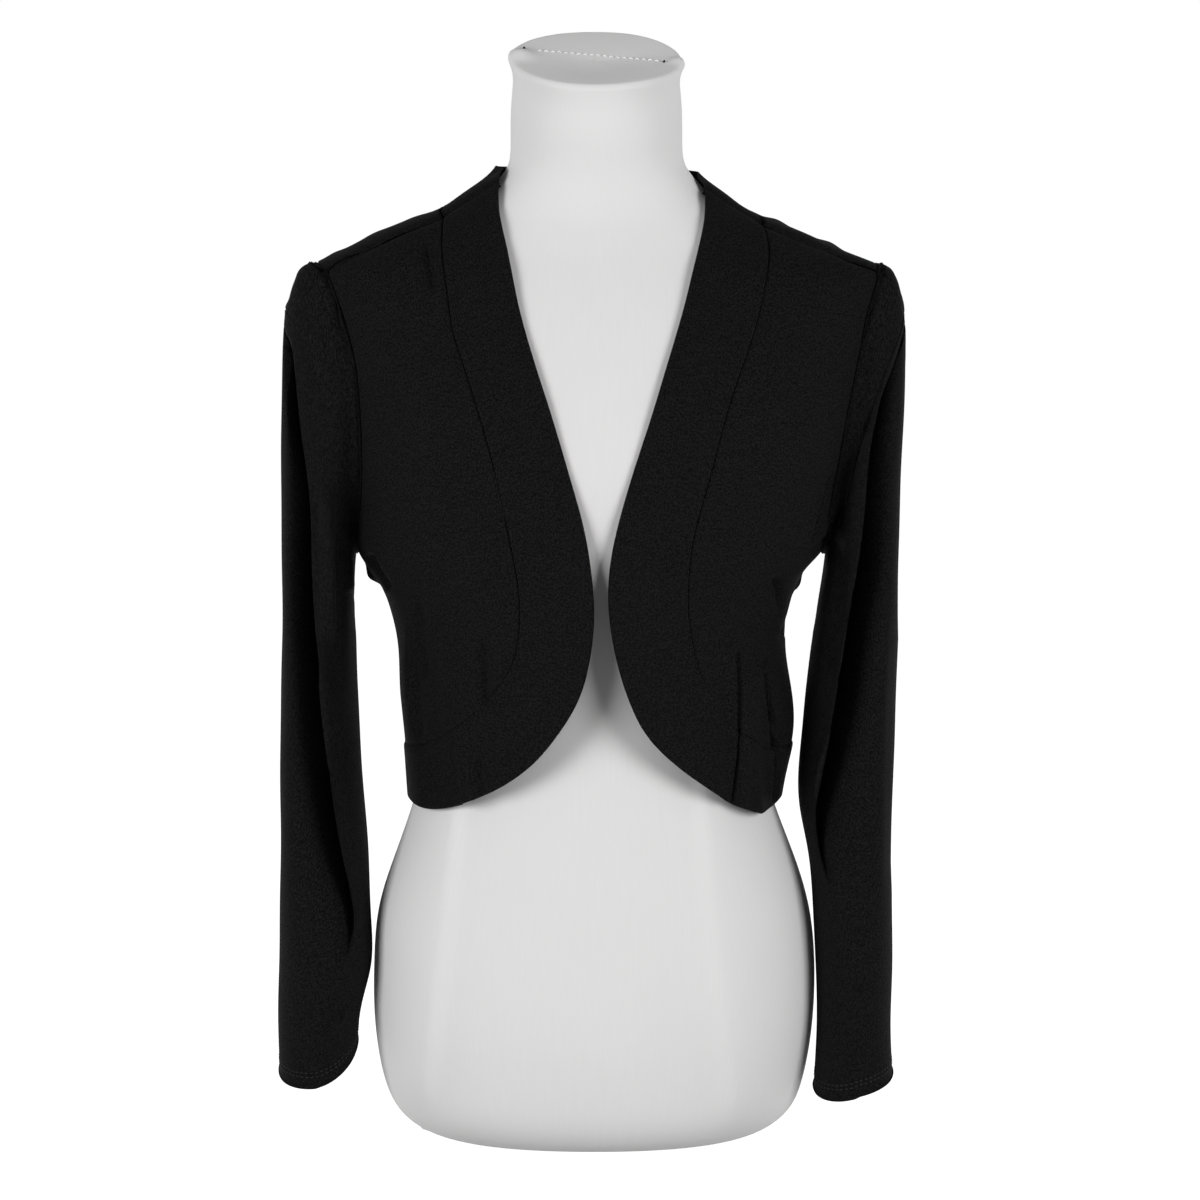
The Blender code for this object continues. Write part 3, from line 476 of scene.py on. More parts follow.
# The same on the sleeves, with x measured away from the middle.
SLEEVE_CREASES = {
    RIGHT: table(
        "face x1 z1 x2 z2 x3 z3 right left rise",
        (-1, 177, 105, 184, 97, 192, 88, 2, 4, 1.6),
        (-1, 176, 101, 183, 93, 190, 84, 2, 2, -1.8),
        (-1, 188, 484, 188, 424, 188, 362, 4.5, 4.5, -9),
        (-1, 178, 462, 181, 395, 183, 326, 4, 4, 3.2),
        (-1, 175, 446, 174, 424, 174, 398, 2, 2.6, -3),
        (-1, 181, 610, 174, 555, 170, 505, 6, 6, 2.6),
        (-1, 170, 520, 171, 480, 174, 440, 6, 6, 2.4),
        (-1, 190, 350, 189, 310, 190, 270, 6, 6, -1.4),
        (1, 196, 420, 190, 400, 176, 386, 6, 7, 2.2),
        (1, 200, 396, 190, 378, 176, 368, 5, 6, -1.8),
        (1, 212, 300, 200, 286, 182, 280, 7, 8, 1.8),
        (1, 198, 560, 200, 480, 198, 400, 10, 12, 1.6),
    ),
    LEFT: table(
        "face x1 z1 x2 z2 x3 z3 right left rise",
        (-1, 171, 448, 173, 436, 176, 426, 2, 2, -3.5),
        (-1, 200, 600, 192, 560, 184, 510, 6, 6, 2.2),
        (-1, 182, 520, 177, 480, 172, 440, 5, 5, 2.6),
        (-1, 177, 440, 173, 400, 166, 340, 5, 4, 4),
        (-1, 169, 380, 165, 320, 158, 250, 4, 4, 1.2),
        (-1, 213, 400, 212, 300, 210, 180, 4, 5, 1.3),
        (1, 200, 430, 190, 408, 172, 398, 6, 7, 2.2),
        (1, 202, 404, 190, 388, 174, 376, 5, 6, -1.8),
        (1, 210, 290, 196, 280, 178, 270, 7, 8, 1.8),
        (1, 200, 560, 202, 480, 200, 400, 10, 12, 1.6),
    ),
}
# Rounded bumps and dents of the cloth, by their middle, how far they reach and how far they stand out.
BUMPS = table(
    "x y z reach rise",
    # The back stands up a little behind the shoulder seams, in waves on the left.
    (-128, 18, 668, 13, 1.6),
    (-158, 16, 656, 12, 1.4),
    (-186, 14, 640, 9, 1.2),
    (131, 20, 664, 10, 2.6),
    (152, 18, 654, 6, -1.2),
    (170, 16, 648, 9, 2.4),
    (190, 14, 638, 5, -1),
    (110, 22, 676, 8, 1.2),
    # The corners of the sleeves' heads.
    (-218, 0, 618, 9, 6),
    (-204, 4, 633, 7, 1.6),
    (-222, 2, 603, 5, -1),
    (219, 0, 618, 9, 3.6),
    (208, 4, 631, 6, 1.6),
    (200, 0, 626, 4, -1.2),
    # The neck border, drawn in to the neck beside it.
    (-70, -8, 704, 9, -4.5),
    (72, -8, 699, 9, -3),
    # The puckers where a shoulder seam meets the armhole.
    (-197, -6, 628, 4, -1.2),
    (205, -6, 626, 4, -1),
    # The underarms.
    (-160, 0, 410, 7, 5),
    (-151, 0, 394, 7, -3),
    (149, 0, 403, 6.5, 4),
    (140, 0, 385, 7, -2.4),
)

# The same on the form's cover: the soft edges of its front panel, and the ends of the cap's seam.
COVER_CREASES = table(
    "face x1 z1 x2 z2 x3 z3 right left rise",
    (-1, -92, 290, -103, 170, -122, 20, 32, 4, 3),
    (-1, 75, 290, 79, 170, 100, 10, 4, 32, 3),
)
COVER_BUMPS = table(
    "x y z reach rise",
    (-53, 2, 785, 9, 6),
    (61, 2, 777, 6, 2.8),
    (0, -14, 774, 30, -3.2),
)
# The cap's seam, from the right to the left: its two ends on the cap, and the middles of the marks of black
# thread beyond them, which are painted shade for the shaded hollows at the seam's ends.
CAP_SEAM = ((-41, 12), (47, 0))
CAP_SEAM_POINTS = 40
CAP_STITCH = (3.2, 1.5, 0.6)  # a stitch's length, the gap to the next and the thread's radius
CAP_SHADE_MARKS = {"r": (-50, 13), "l": (50, -1.5)}
CAP_SHADE_MARK = (0.6, 2.2)  # half of a mark, across and deep
CAP_SHADE_MARK_STITCH = (3.4, 0.6, 0.8)
CAP_LOOKS = (0, -0.45, 1)
CAP_THREAD_RISE = 0.3
CAP_NEARNESS = 0.5  # how soft the reading of the cap's height is


def spline(knots, values, at):
    """A natural cubic spline through the rows of values, read at the given places."""
    knots = np.asarray(knots, float)
    values = np.asarray(values, float).reshape(len(knots), -1)
    steps = np.diff(knots)
    matrix = np.eye(len(knots))
    target = np.zeros_like(values)
    for i in range(1, len(knots) - 1):
        matrix[i, i - 1 : i + 2] = steps[i - 1], 2 * (steps[i - 1] + steps[i]), steps[i]
        before = (values[i] - values[i - 1]) / steps[i - 1]
        after = (values[i + 1] - values[i]) / steps[i]
        target[i] = 6 * (after - before)
    bend = np.linalg.solve(matrix, target)
    at = np.asarray(at, float)
    flat = np.clip(at.ravel(), knots[0], knots[-1])
    i = np.clip(np.searchsorted(knots, flat) - 1, 0, len(steps) - 1)
    step = steps[i][:, None]
    left = (knots[i + 1] - flat)[:, None] / step
    right = 1 - left
    read = left * values[i] + right * values[i + 1]
    read += ((left**3 - left) * bend[i] + (right**3 - right) * bend[i + 1]) * step**2 / 6
    return read.reshape(at.shape + (-1,))


def read(rows, column, at, by="height"):
    """One column of a table, read smoothly at the given heights."""
    return spline(rows[by], rows[column], at)[..., 0]


def lengths_along(points):
    """How far each point is along a line of points."""
    steps = np.linalg.norm(np.diff(points, axis=0), axis=-1)
    return np.concatenate([np.zeros_like(steps[:1]), np.cumsum(steps, axis=0)])


def chords(points):
    """The same, from 0 to 1."""
    along = lengths_along(points)
    return along / along[-1]


def ease(value):
    """0 below 0, 1 above 1 and a smooth step between them."""
    value = np.clip(value, 0, 1)
    return value * value * (3 - 2 * value)


def unit(vectors):
    """Vectors of the same directions with a length of 1."""
    return vectors / np.linalg.norm(vectors, axis=-1, keepdims=True)


def across_tube(points):
    """Vectors that look out of a closed tube of points, or into it, by the way that its rings turn."""
    around = np.roll(points, -1, axis=1) - np.roll(points, 1, axis=1)
    return np.cross(around, np.gradient(points, axis=0))


def ring_point(right, left, front, back, lean, fullness, turn):
    """Points of a ring made of four quarter superellipses."""
    across = np.cos(np.radians(turn))
    along = np.sin(np.radians(turn))
    half = np.where(across > 0, left, right)
    depth = np.where(along > 0, back, front)
    x = half * np.sign(across) * np.abs(across) ** (2 / fullness)
    y = lean + depth * np.sign(along) * np.abs(along) ** (2 / fullness)
    return x, y


def fold_rise(x, y, height):
    """How far the large folds push the body's cloth out at a place."""
    rise = np.zeros(np.broadcast(x, y, height).shape)
    for fold in each_row(BODY_FOLDS):
        down = (fold["top_height"] - height) / (fold["top_height"] - fold["low_height"])
        middle = fold["top_x"] + (fold["low_x"] - fold["top_x"]) * down
        strength = ease((fold["top_height"] - height) / FOLD_FADE) * ease(np.abs(y) / FOLD_FADE)
        pushed = fold["rise"] * strength * np.exp(-(((x - middle) / fold["reach"]) ** 2))
        rise += np.where(y * fold["face"] > 0, pushed, 0)
    return rise


def ring_sizes(height):
    """The sizes of the cloth's ring at a height."""
    names = ("right", "left", "front", "back", "lean", "fullness")
    return [read(CLOTH_RINGS, name, height) for name in names]


def cloth(turn, height):
    """The outer face of the body's cloth at a turn and a height."""
    turn, height = np.broadcast_arrays(turn, height)
    x, y = ring_point(*ring_sizes(height), turn)
    rise = fold_rise(x, y, height)
    outward = np.radians(turn)
    return np.stack([x + rise * np.cos(outward), y + rise * np.sin(outward), height], axis=-1)


def shares_of_ring(points):
    """How far points are to the side and in depth, as shares of their rings, with the ring's own power."""
    x, y, height = np.moveaxis(points, -1, 0)
    right, left, front, back, lean, fullness = ring_sizes(height)
    aside = np.abs(x) / np.where(x > 0, left, right)
    deep = np.abs(y - lean) / np.where(y > lean, back, front)
    return aside**fullness, deep**fullness


def nearest_on_cloth(points):
    """Turn and height of the places of the cloth that are nearest to points close to it."""
    steps = np.eye(3) * NEAREST_STEP
    for _ in range(NEAREST_ROUNDS):
        beyond = sum(shares_of_ring(points)) - 1
        changes = [sum(shares_of_ring(points + step)) - sum(shares_of_ring(points - step)) for step in steps]
        slope = np.stack(changes, axis=-1)
        points = points - beyond[..., None] * slope / (slope**2).sum(axis=-1, keepdims=True)
    aside, deep = shares_of_ring(points)
    x, y, height = np.moveaxis(points, -1, 0)
    from_side = np.degrees(np.arctan2(np.sqrt(deep), np.sqrt(aside)))
    from_side = np.where(y > read(CLOTH_RINGS, "lean", height), from_side, -from_side)
    return np.stack([np.where(x > 0, from_side, 180 - from_side), height], axis=-1)


def cloth_normal(turn, height):
    """Which way the outer face looks, from its slopes along the ring and up."""
    step_turn = 0.4
    step_height = 0.8
    along = cloth(turn + step_turn, height) - cloth(turn - step_turn, height)
    up = cloth(turn, height + step_height) - cloth(turn, height - step_height)
    return unit(np.cross(along, up))


def front_turn(side, x, height):
    """The turn of a place on the front that is x from the middle."""
    half = read(CLOTH_RINGS, SIDE_NAMES[side], height)
    fullness = read(CLOTH_RINGS, "fullness", height)
    before_side = np.degrees(np.arccos(np.clip(x / half, 0, 1) ** (fullness / 2)))
    return -before_side if side == LEFT else 180 + before_side


def behind_turn(side, behind):
    """The turn that lies a given angle behind the side."""
    return behind if side == LEFT else 180 - behind


# ---------------------------------------------------------------------------------------------------------
# Seam lines and panels, on finer steps than the part's
# ---------------------------------------------------------------------------------------------------------


def shares(length, step, near_start=False, near_end=False):
    """Shares of a line at even steps, with closer ones beside a seam or an edge."""
    even = np.linspace(0, 1, int(round(length / step)) + 1)
    close = np.array(CLOSE_STEPS) / length
    room = close[-1] + CLOSE_ROOM * step / length
    if near_start:
        even = np.concatenate([[0], close, even[even > room]])
    if near_end:
        even = np.concatenate([even[even < 1 - room], 1 - close[::-1], [1]])
    return even


# Shares of each line, from its length and its steps: along the shoulder, down the armhole and the side seam,
# from the shoulder to the centre back along the neck, and along and across the borders.
ALONG_SHOULDER = shares(90, 1.4, near_start=True, near_end=True)
ALONG_FRONT = shares(90, 1.0, near_start=True, near_end=True)
DOWN_YOKE = shares(75, 1.8, near_start=True)
DOWN_ARMHOLE = shares(150, 1.8)
DOWN_SIDE = shares(135, 1.6, near_end=True)
DOWN_FRONT = shares(135, 1.22, near_end=True)
MIDDLE_NECK = shares(60, 2)
ACROSS_BORDER = shares(48, 1.6, near_start=True, near_end=True)
ALONG_FRONT_BORDER = shares(640, 1.5, near_start=True, near_end=True)
ALONG_NECK_BORDER = shares(120, 2.2, near_start=True)
ALONG_HEM_BORDER = shares(330, 2.2, near_start=True, near_end=True)
ROUND_HEAD = 0.2  # steps of a sleeve's grid, as shares of the part's own
DOWN_HEAD = 1 / 12
DOWN_TUBE = 0.1
FINE_LINE = 261  # points of a line that is read again at even steps
FINE_COLUMNS = 641  # and of one of a sleeve's rows


def front_border(side, along):
    """Turn and height of a front border's free edge and its seam, at shares of its length."""
    rows = FRONT_BORDERS[side]
    lines = []
    for name in ("edge", "seam"):
        x = rows[name + "_x"].copy()
        x[-1] = read(CLOTH_RINGS, SIDE_NAMES[side], rows[name + "_height"][-1])
        lines.append(np.stack([x, rows[name + "_height"]], axis=-1))
    middle = sum(cloth(front_turn(side, *line.T), line[:, 1]) for line in lines) / 2
    lines = [spline(chords(middle), line, along) for line in lines]
    return [np.stack([front_turn(side, *line.T), line[:, 1]], axis=-1) for line in lines]


def shoulder_seam(side, along):
    """Turn and height along the shoulder seam, from the border to the armhole."""
    rows = SHOULDER_SEAMS[side]
    turn = front_turn(side, rows["x"], rows["height"])
    points = np.stack([turn, rows["height"]], axis=-1)
    return spline(chords(points), points, along)


def even_on_cloth(line, along):
    """A line of turns and heights, read again at shares of its length on the cloth."""
    fine = spline(chords(cloth(*line.T)), line, np.linspace(0, 1, FINE_LINE))
    return spline(chords(cloth(*fine.T)), fine, along)


def armhole(side, face, down):
    """Turn and height down the front (face -1) or back (face 1) half of an armhole, to the underarm."""
    rows = FRONT_ARMHOLES[side]
    turn = front_turn(side, rows["x"], rows["height"])
    turn[-1] = behind_turn(side, 0)
    front = np.stack([turn, rows["height"]], axis=-1)
    rows = BACK_ARMHOLE
    back = np.stack([behind_turn(side, rows["behind"]), rows["height"]], axis=-1)
    return even_on_cloth(front if face < 0 else np.vstack([front[:1], back]), down)


def side_seam(side, down):
    """Turn and height down the side seam, from the underarm to the hem's border."""
    low = FRONT_BORDERS[side]["seam_height"][-1]
    heights = UNDERARM_HEIGHT + (low - UNDERARM_HEIGHT) * down
    return np.stack([np.full_like(heights, behind_turn(side, 0)), heights], axis=-1)


def half_back_neck(side, name, along):
    """Turn and height of the back neck border's edge or seam, from a shoulder to the centre back."""
    turn, height = front_border(side, np.zeros(1))[("edge", "seam").index(name)][0]
    way = np.linspace(0, 1, HALF_NECK_STEPS + 1)
    heights = read(BACK_NECK[side], name + "_height", way, by="way")
    heights = heights + (height - heights[0]) * (1 - way) ** NECK_POWERS[name]
    return even_on_cloth(np.stack([turn + (90 - turn) * way, heights], axis=-1), along)


def back_hem(name, along):
    """Turn and height of the back hem border's edge or seam, from the right side seam to the left."""
    turn = 180 * (1 - along)
    right, left = (FRONT_BORDERS[side][name + "_height"][-1] for side in (RIGHT, LEFT))
    sides = left + (right - left) * turn / 180
    return np.stack([turn, sides + (HEM_BACK_HEIGHTS[name] - sides) * np.sin(np.radians(turn))], axis=-1)


def patch(top, bottom, start, end, across, down):
    """A grid of turns and heights between four lines of them: a Coons patch, brought to the cloth."""
    across = across[None, :, None]
    down = down[:, None, None]
    above, below, first, last = (cloth(*line.T) for line in (top, bottom, start, end))
    between_ends = (1 - across) * first[:, None] + across * last[:, None]
    between_lines = (1 - down) * above[None] + down * below[None]
    corners = (1 - down) * ((1 - across) * above[0] + across * above[-1])
    corners = corners + down * ((1 - across) * below[0] + across * below[-1])
    places = nearest_on_cloth(between_ends + between_lines - corners)
    places[0], places[-1], places[:, 0], places[:, -1] = top, bottom, start, end
    return places


def front_panel(side):
    """Turns and heights of a front, from its shoulder seam down to its border."""
    whole = ARMHOLE_STEPS + SIDE_SEAM_STEPS
    below_yoke = ARMHOLE_STEPS - YOKE_STEPS
    armhole_down = np.concatenate([YOKE_STEPS * DOWN_YOKE, YOKE_STEPS + below_yoke * DOWN_ARMHOLE[1:]])
    down = np.concatenate([armhole_down, ARMHOLE_STEPS + SIDE_SEAM_STEPS * DOWN_FRONT[1:]]) / whole
    border = front_border(side, BORDER_CORNER * down)[1]
    return patch(
        top=shoulder_seam(side, ALONG_FRONT),
        bottom=front_border(side, BORDER_CORNER + (1 - BORDER_CORNER) * ALONG_FRONT)[1],
        start=border,
        end=np.vstack([armhole(side, -1, armhole_down / ARMHOLE_STEPS), side_seam(side, DOWN_FRONT)[1:]]),
        across=ALONG_FRONT,
        down=down,
    )


def back_panels():
    """Turns and heights of the back: a yoke behind each shoulder and one grid below the two."""
    below_yoke = ARMHOLE_STEPS - YOKE_STEPS
    yoke_end = YOKE_STEPS / ARMHOLE_STEPS
    down = np.concatenate([below_yoke * DOWN_ARMHOLE, below_yoke + SIDE_SEAM_STEPS * DOWN_SIDE[1:]])
    down = down / down[-1]
    grids, yoke_lines, sides = [], {}, {}
    for side in (RIGHT, LEFT):
        neck = half_back_neck(side, "seam", DOWN_YOKE * YOKE_STEPS / HALF_NECK_STEPS)
        upper = armhole(side, 1, DOWN_YOKE * yoke_end)
        lower = armhole(side, 1, yoke_end + DOWN_ARMHOLE * (1 - yoke_end))
        share = ALONG_SHOULDER[:, None]
        yoke_lines[side] = (1 - share) * neck[-1] + share * lower[0]
        grids.append(
            patch(
                top=shoulder_seam(side, ALONG_SHOULDER),
                bottom=yoke_lines[side],
                start=neck,
                end=upper,
                across=ALONG_SHOULDER,
                down=DOWN_YOKE,
            )
        )
        sides[side] = np.vstack([lower, side_seam(side, DOWN_SIDE)[1:]])
    inner = 0.5 + 0.5 * MIDDLE_NECK
    middle = np.vstack([half_back_neck(RIGHT, "seam", inner), half_back_neck(LEFT, "seam", inner)[-2::-1]])
    top = np.vstack([yoke_lines[RIGHT][::-1], middle[1:-1], yoke_lines[LEFT]])
    steps = 2 * SHOULDER_STEPS + 2 * YOKE_STEPS
    across = np.concatenate(
        [
            SHOULDER_STEPS * (1 - ALONG_SHOULDER[::-1]),
            SHOULDER_STEPS + YOKE_STEPS * MIDDLE_NECK[1:],
            SHOULDER_STEPS + YOKE_STEPS + YOKE_STEPS * (1 - MIDDLE_NECK[::-1])[1:-1],
            steps - SHOULDER_STEPS + SHOULDER_STEPS * ALONG_SHOULDER,
        ]
    ) / steps
    grids.append(
        patch(
            top=top,
            bottom=back_hem("seam", across),
            start=sides[RIGHT],
            end=sides[LEFT],
            across=across,
            down=down,
        )
    )
    return grids


def border_strip(edge, seam):
    """Turns and heights of a border, from its free edge to its seam."""
    across = ACROSS_BORDER[:, None, None]
    return (1 - across) * edge[None] + across * seam[None]


# ---------------------------------------------------------------------------------------------------------
# Sleeves
# ---------------------------------------------------------------------------------------------------------


def sleeve_angle(column):
    """The angle of a column round a sleeve: 0 is its outer side, 90 its front, 180 its inner side."""
    front = FIRST_SLEEVE_ANGLE + (180 - FIRST_SLEEVE_ANGLE) * column / ARMHOLE_STEPS
    back = 180 + (180 + FIRST_SLEEVE_ANGLE) * (column - ARMHOLE_STEPS) / ARMHOLE_STEPS
    return np.where(column <= ARMHOLE_STEPS, front, back)


def follow_ridge(angle, ridge_angle):
    """Moves the columns down a sleeve's front so that one stays on the fold's ridge and one just past it."""
    ridge, behind = sleeve_angle(np.array([RIDGE_STEP, RIDGE_STEP - 1]))
    past = FIRST_SLEEVE_ANGLE + (angle - FIRST_SLEEVE_ANGLE) * (
        (ridge_angle - BEHIND_RIDGE - FIRST_SLEEVE_ANGLE) / (behind - FIRST_SLEEVE_ANGLE)
    )
    on_turn = ridge_angle + (angle - ridge) * BEHIND_RIDGE / (ridge - behind)
    before = ridge_angle + (angle - ridge) * (180 - ridge_angle) / (180 - ridge)
    moved = np.where(angle < behind, past, np.where(angle < ridge, on_turn, before))
    return np.where((angle > FIRST_SLEEVE_ANGLE) & (angle < 180), moved, angle)


def sleeve_section(side, angle, height):
    """Points of a sleeve's tube, before the cloth is set back behind the ridge."""
    rows = SLEEVE_SECTIONS[side]
    outer, inner, front, back, ridge = (
        read(rows, name, height) for name in ("outer", "inner", "front", "back", "ridge")
    )
    half = (outer - inner) / 2
    middle = (outer + inner) / 2
    ridge_angle = np.degrees(np.arccos(np.clip((ridge - middle) / half, -0.9, 0.9)))
    angle = follow_ridge(angle, ridge_angle)
    x = middle + half * np.cos(np.radians(angle))
    y = (front + back) / 2 + (front - back) / 2 * np.sin(np.radians(angle))
    return side * x, y


def sleeve_head_value(name, angle):
    """A column of the sleeve head's table, eased from one angle of the table to the next."""
    knots = SLEEVE_HEAD["angle"]
    values = SLEEVE_HEAD[name]
    angle = np.mod(angle, 360)
    i = np.searchsorted(knots, angle, side="right") - 1
    share = ease((angle - knots[i]) / (knots[i + 1] - knots[i]))
    return values[i] + (values[i + 1] - values[i]) * share


def round_armhole(side, columns):
    """Turns and heights of a sleeve's columns at its armhole, from the shoulder seam round the front."""
    front = armhole(side, -1, np.clip(columns / ARMHOLE_STEPS, 0, 1))
    back = armhole(side, 1, np.clip(2 - columns / ARMHOLE_STEPS, 0, 1))
    return np.where(columns[:, None] <= ARMHOLE_STEPS, front, back).T


def sleeve_grid(side, rows, columns):
    """Points of a sleeve, at rows from the armhole and columns from the shoulder seam round the front."""
    start = cloth(*round_armhole(side, columns))
    angle = sleeve_angle(columns)
    leave = [sleeve_head_value(name, angle) for name in ("out", "behind", "up")]
    leave[0] = side * leave[0]
    x, y = sleeve_section(side, angle, np.full_like(angle, SLEEVE_HEAD_END))
    end = np.stack([x, y, np.full_like(angle, SLEEVE_HEAD_END)], axis=-1)
    above = end.copy()
    above[:, 0] -= side * sleeve_head_value("draw_in", angle)
    above[:, 2] += sleeve_head_value("lift", angle)
    share = (rows[rows <= HEAD_STEPS] / HEAD_STEPS)[:, None, None] ** HEAD_EASE
    head = (1 - share) ** 3 * start + 3 * share * (1 - share) ** 2 * (start + np.stack(leave, axis=-1))
    head = head + 3 * share**2 * (1 - share) * above + share**3 * end

    cuff = CUFFS[side]
    turned = np.radians(angle)
    low = (cuff["outer"] + cuff["inner"]) / 2 + (cuff["outer"] - cuff["inner"]) / 2 * np.cos(turned)
    low = low + (cuff["front"] - cuff["back"]) / 2 * np.sin(turned)
    share = ((rows[rows > HEAD_STEPS] - HEAD_STEPS) / TUBE_STEPS)[:, None]
    height = SLEEVE_HEAD_END + (low - SLEEVE_HEAD_END) * share
    x, y = sleeve_section(side, angle[None, :], height)
    return np.concatenate([head, np.stack([x, y, height], axis=-1)])


def head_softening(side, rows, columns):
    """How far the part's own softening of the head moves its points."""
    coarse_rows = np.arange(HEAD_STEPS + TUBE_STEPS + 1.0)
    coarse_columns = np.arange(2 * ARMHOLE_STEPS * 1.0)
    points = sleeve_grid(side, coarse_rows, coarse_columns)
    soft = points.copy()
    share = ((1 - np.cos(np.radians(sleeve_angle(coarse_columns)))) / 2)[:, None]
    for _ in range(SOFTENING_STEPS):
        beside = np.roll(soft, 1, axis=1) + np.roll(soft, -1, axis=1)
        beside = beside[2:HEAD_STEPS] + soft[3 : HEAD_STEPS + 1] + soft[1 : HEAD_STEPS - 1]
        soft[2:HEAD_STEPS] += share * (beside / 4 - soft[2:HEAD_STEPS]) / 2
    moved = soft - points
    moved = spline(coarse_rows, moved, rows).reshape(len(rows), len(coarse_columns), 3)
    wrap = 4
    wrapped = np.concatenate([moved[:, -wrap:], moved, moved[:, : wrap + 1]], axis=1).swapaxes(0, 1)
    knots = np.arange(-wrap, len(coarse_columns) + wrap + 1)
    fine = spline(knots, wrapped, columns).reshape(len(columns), len(rows), 3)
    return fine.swapaxes(0, 1)


def slide_to_ridge(side, row, around, strength):
    """Slides the front columns of one of the head's rows along it, so that one is on the ridge."""
    fine = np.linspace(around[0], ARMHOLE_STEPS, FINE_COLUMNS)
    curve = np.stack([np.interp(fine, around, row[:, axis]) for axis in range(3)], axis=-1)
    past = side * curve[:, 0] - read(SLEEVE_SECTIONS[side], "ridge", curve[:, 2])
    just_past = max(fine[np.argmax(past < RIDGE_TURN)], FIRST_RIDGE)
    on_ridge = max(fine[np.argmax(past < 0)], just_past + RIDGE_APART)
    knots = [FOLD_START, RIDGE_STEP - 1, RIDGE_STEP, ARMHOLE_STEPS]
    slid = np.interp(around, knots, [FOLD_START, just_past, on_ridge, ARMHOLE_STEPS])
    places = around + (slid - around) * strength
    return np.stack([np.interp(places, around, row[:, axis]) for axis in range(3)], axis=-1)


def sleeve_points(side, columns):
    """The outer face of a sleeve, with the cloth past its ridge set back."""
    close = np.array(CLOSE_STEPS)
    head = np.arange(0, HEAD_STEPS + DOWN_HEAD / 2, DOWN_HEAD)
    tube = HEAD_STEPS + np.arange(DOWN_TUBE, TUBE_STEPS + DOWN_TUBE / 2, DOWN_TUBE)
    last = HEAD_STEPS + TUBE_STEPS
    tube = np.concatenate([tube[tube < last - HEM_ROOM], last - close[::-1] / TUBE_ROW, [last]])
    rows = np.concatenate([head, tube])
    points = sleeve_grid(side, rows, columns) + head_softening(side, rows, columns)

    around = np.where(columns <= ARMHOLE_STEPS + ROUND_HEAD / 2, columns, columns - 2 * ARMHOLE_STEPS)
    front = np.argsort(around)
    front = front[around[front] >= FOLD_START - ROUND_HEAD / 2]
    slid = ease(rows / RIDGE_SLIDE_STEPS)
    for i in np.flatnonzero((rows > 0) & (rows < HEAD_STEPS)):
        points[i, front] = slide_to_ridge(side, points[i, front], around[front], slid[i])
    past = ease(RIDGE_STEP - around)
    share = past * np.clip((around - FOLD_START) / (RIDGE_STEP - 1 - FOLD_START), 0, 1) ** FOLD_BEND
    set_back = np.maximum(read(SLEEVE_SECTIONS[side], "set_back", points[..., 2]), 0)
    set_back = set_back * ease(rows / RIDGE_START_STEPS)[:, None]
    points[..., 1] += FOLD_DEPTH * set_back * share
    tuck = past * ease((around - RIDGE_STEP + TUCK_START) / TUCK_COLUMNS)
    points[..., 0] -= side * FOLD_TUCK * tuck * ease(set_back / DEEP_SET_BACK)
    return points


# ---------------------------------------------------------------------------------------------------------
# Creases, seams and edges
# ---------------------------------------------------------------------------------------------------------


def crease_rise(rows, points, middle_y):
    """How far creases push the cloth out, for a table of creases seen from the front or the back."""
    x, y, height = np.moveaxis(points, -1, 0)
    rise = np.zeros(x.shape)
    for crease in each_row(rows):
        way = np.linspace(0, 1, CREASE_POINTS)[:, None]
        corners = [np.array([crease["x" + number], crease["z" + number]]) for number in "123"]
        line = (1 - way) ** 2 * corners[0] + 2 * way * (1 - way) * corners[1] + way**2 * corners[2]
        nearest = np.full(x.shape, np.inf)
        along = np.zeros(x.shape)
        for k in range(len(line) - 1):
            step = line[k + 1] - line[k]
            share = ((x - line[k, 0]) * step[0] + (height - line[k, 1]) * step[1]) / (step @ step)
            share = np.clip(share, 0, 1)
            aside = x - line[k, 0] - share * step[0]
            above = height - line[k, 1] - share * step[1]
            turned = np.sign(step[0] * above - step[1] * aside)
            reach = np.where(turned > 0, crease["left"], crease["right"])
            far = np.hypot(aside, above) / reach
            along = np.where(far < nearest, (k + share) / (len(line) - 1), along)
            nearest = np.minimum(far, nearest)
        fade = ease(along / CREASE_FADE_IN) * ease((1 - along) / CREASE_FADE_OUT)
        facing = ease((y - middle_y) * crease["face"] / FACING_REACH) if crease["face"] else 1
        rise += crease["rise"] * fade * facing * np.exp(-(nearest**2))
    return rise


def bump_rise(points, rows=BUMPS):
    """How far the rounded bumps push the cloth out."""
    rise = np.zeros(points.shape[:-1])
    for x, y, z, reach, height in zip(*rows.values()):
        rise += height * np.exp(-(((points - [x, y, z]) / reach) ** 2).sum(axis=-1))
    return rise


def unevenness(points):
    """A slow, slight unevenness of worn cloth, in millimetres."""
    rise = np.zeros(points.shape[:-1])
    for high, x, y, height, start in zip(*WAVES.values()):
        rise += high * np.sin((points / [x, y, height]).sum(axis=-1) + start)
    return rise


def from_side(side):
    """The axis of a grid that leaves one of its sides, and the order that starts there."""
    axis = 0 if side in ("top", "bottom") else 1
    return axis, slice(None) if side in ("top", "start") else slice(None, None, -1)


def seam_dip(points, sides):
    """How far the cloth dips into the seams along these sides of a grid of points."""
    dip = np.zeros(points.shape[:-1])
    for side in sides:
        axis, order = from_side(side)
        away = lengths_along(np.moveaxis(points, axis, 0)[order])
        one = SEAM_DEPTH * np.exp(-((away / SEAM_REACH) ** 2))
        dip = np.maximum(dip, np.moveaxis(one[order], 0, axis))
    return dip


def edge_fall(points):
    """How far a folded edge along a grid's first row falls back from its face."""
    away = lengths_along(points)
    near = np.clip(EDGE_ROUND - away, 0, EDGE_ROUND)
    return EDGE_ROUND - np.sqrt(EDGE_ROUND**2 - near**2)


# ---------------------------------------------------------------------------------------------------------
# Meshes
# ---------------------------------------------------------------------------------------------------------


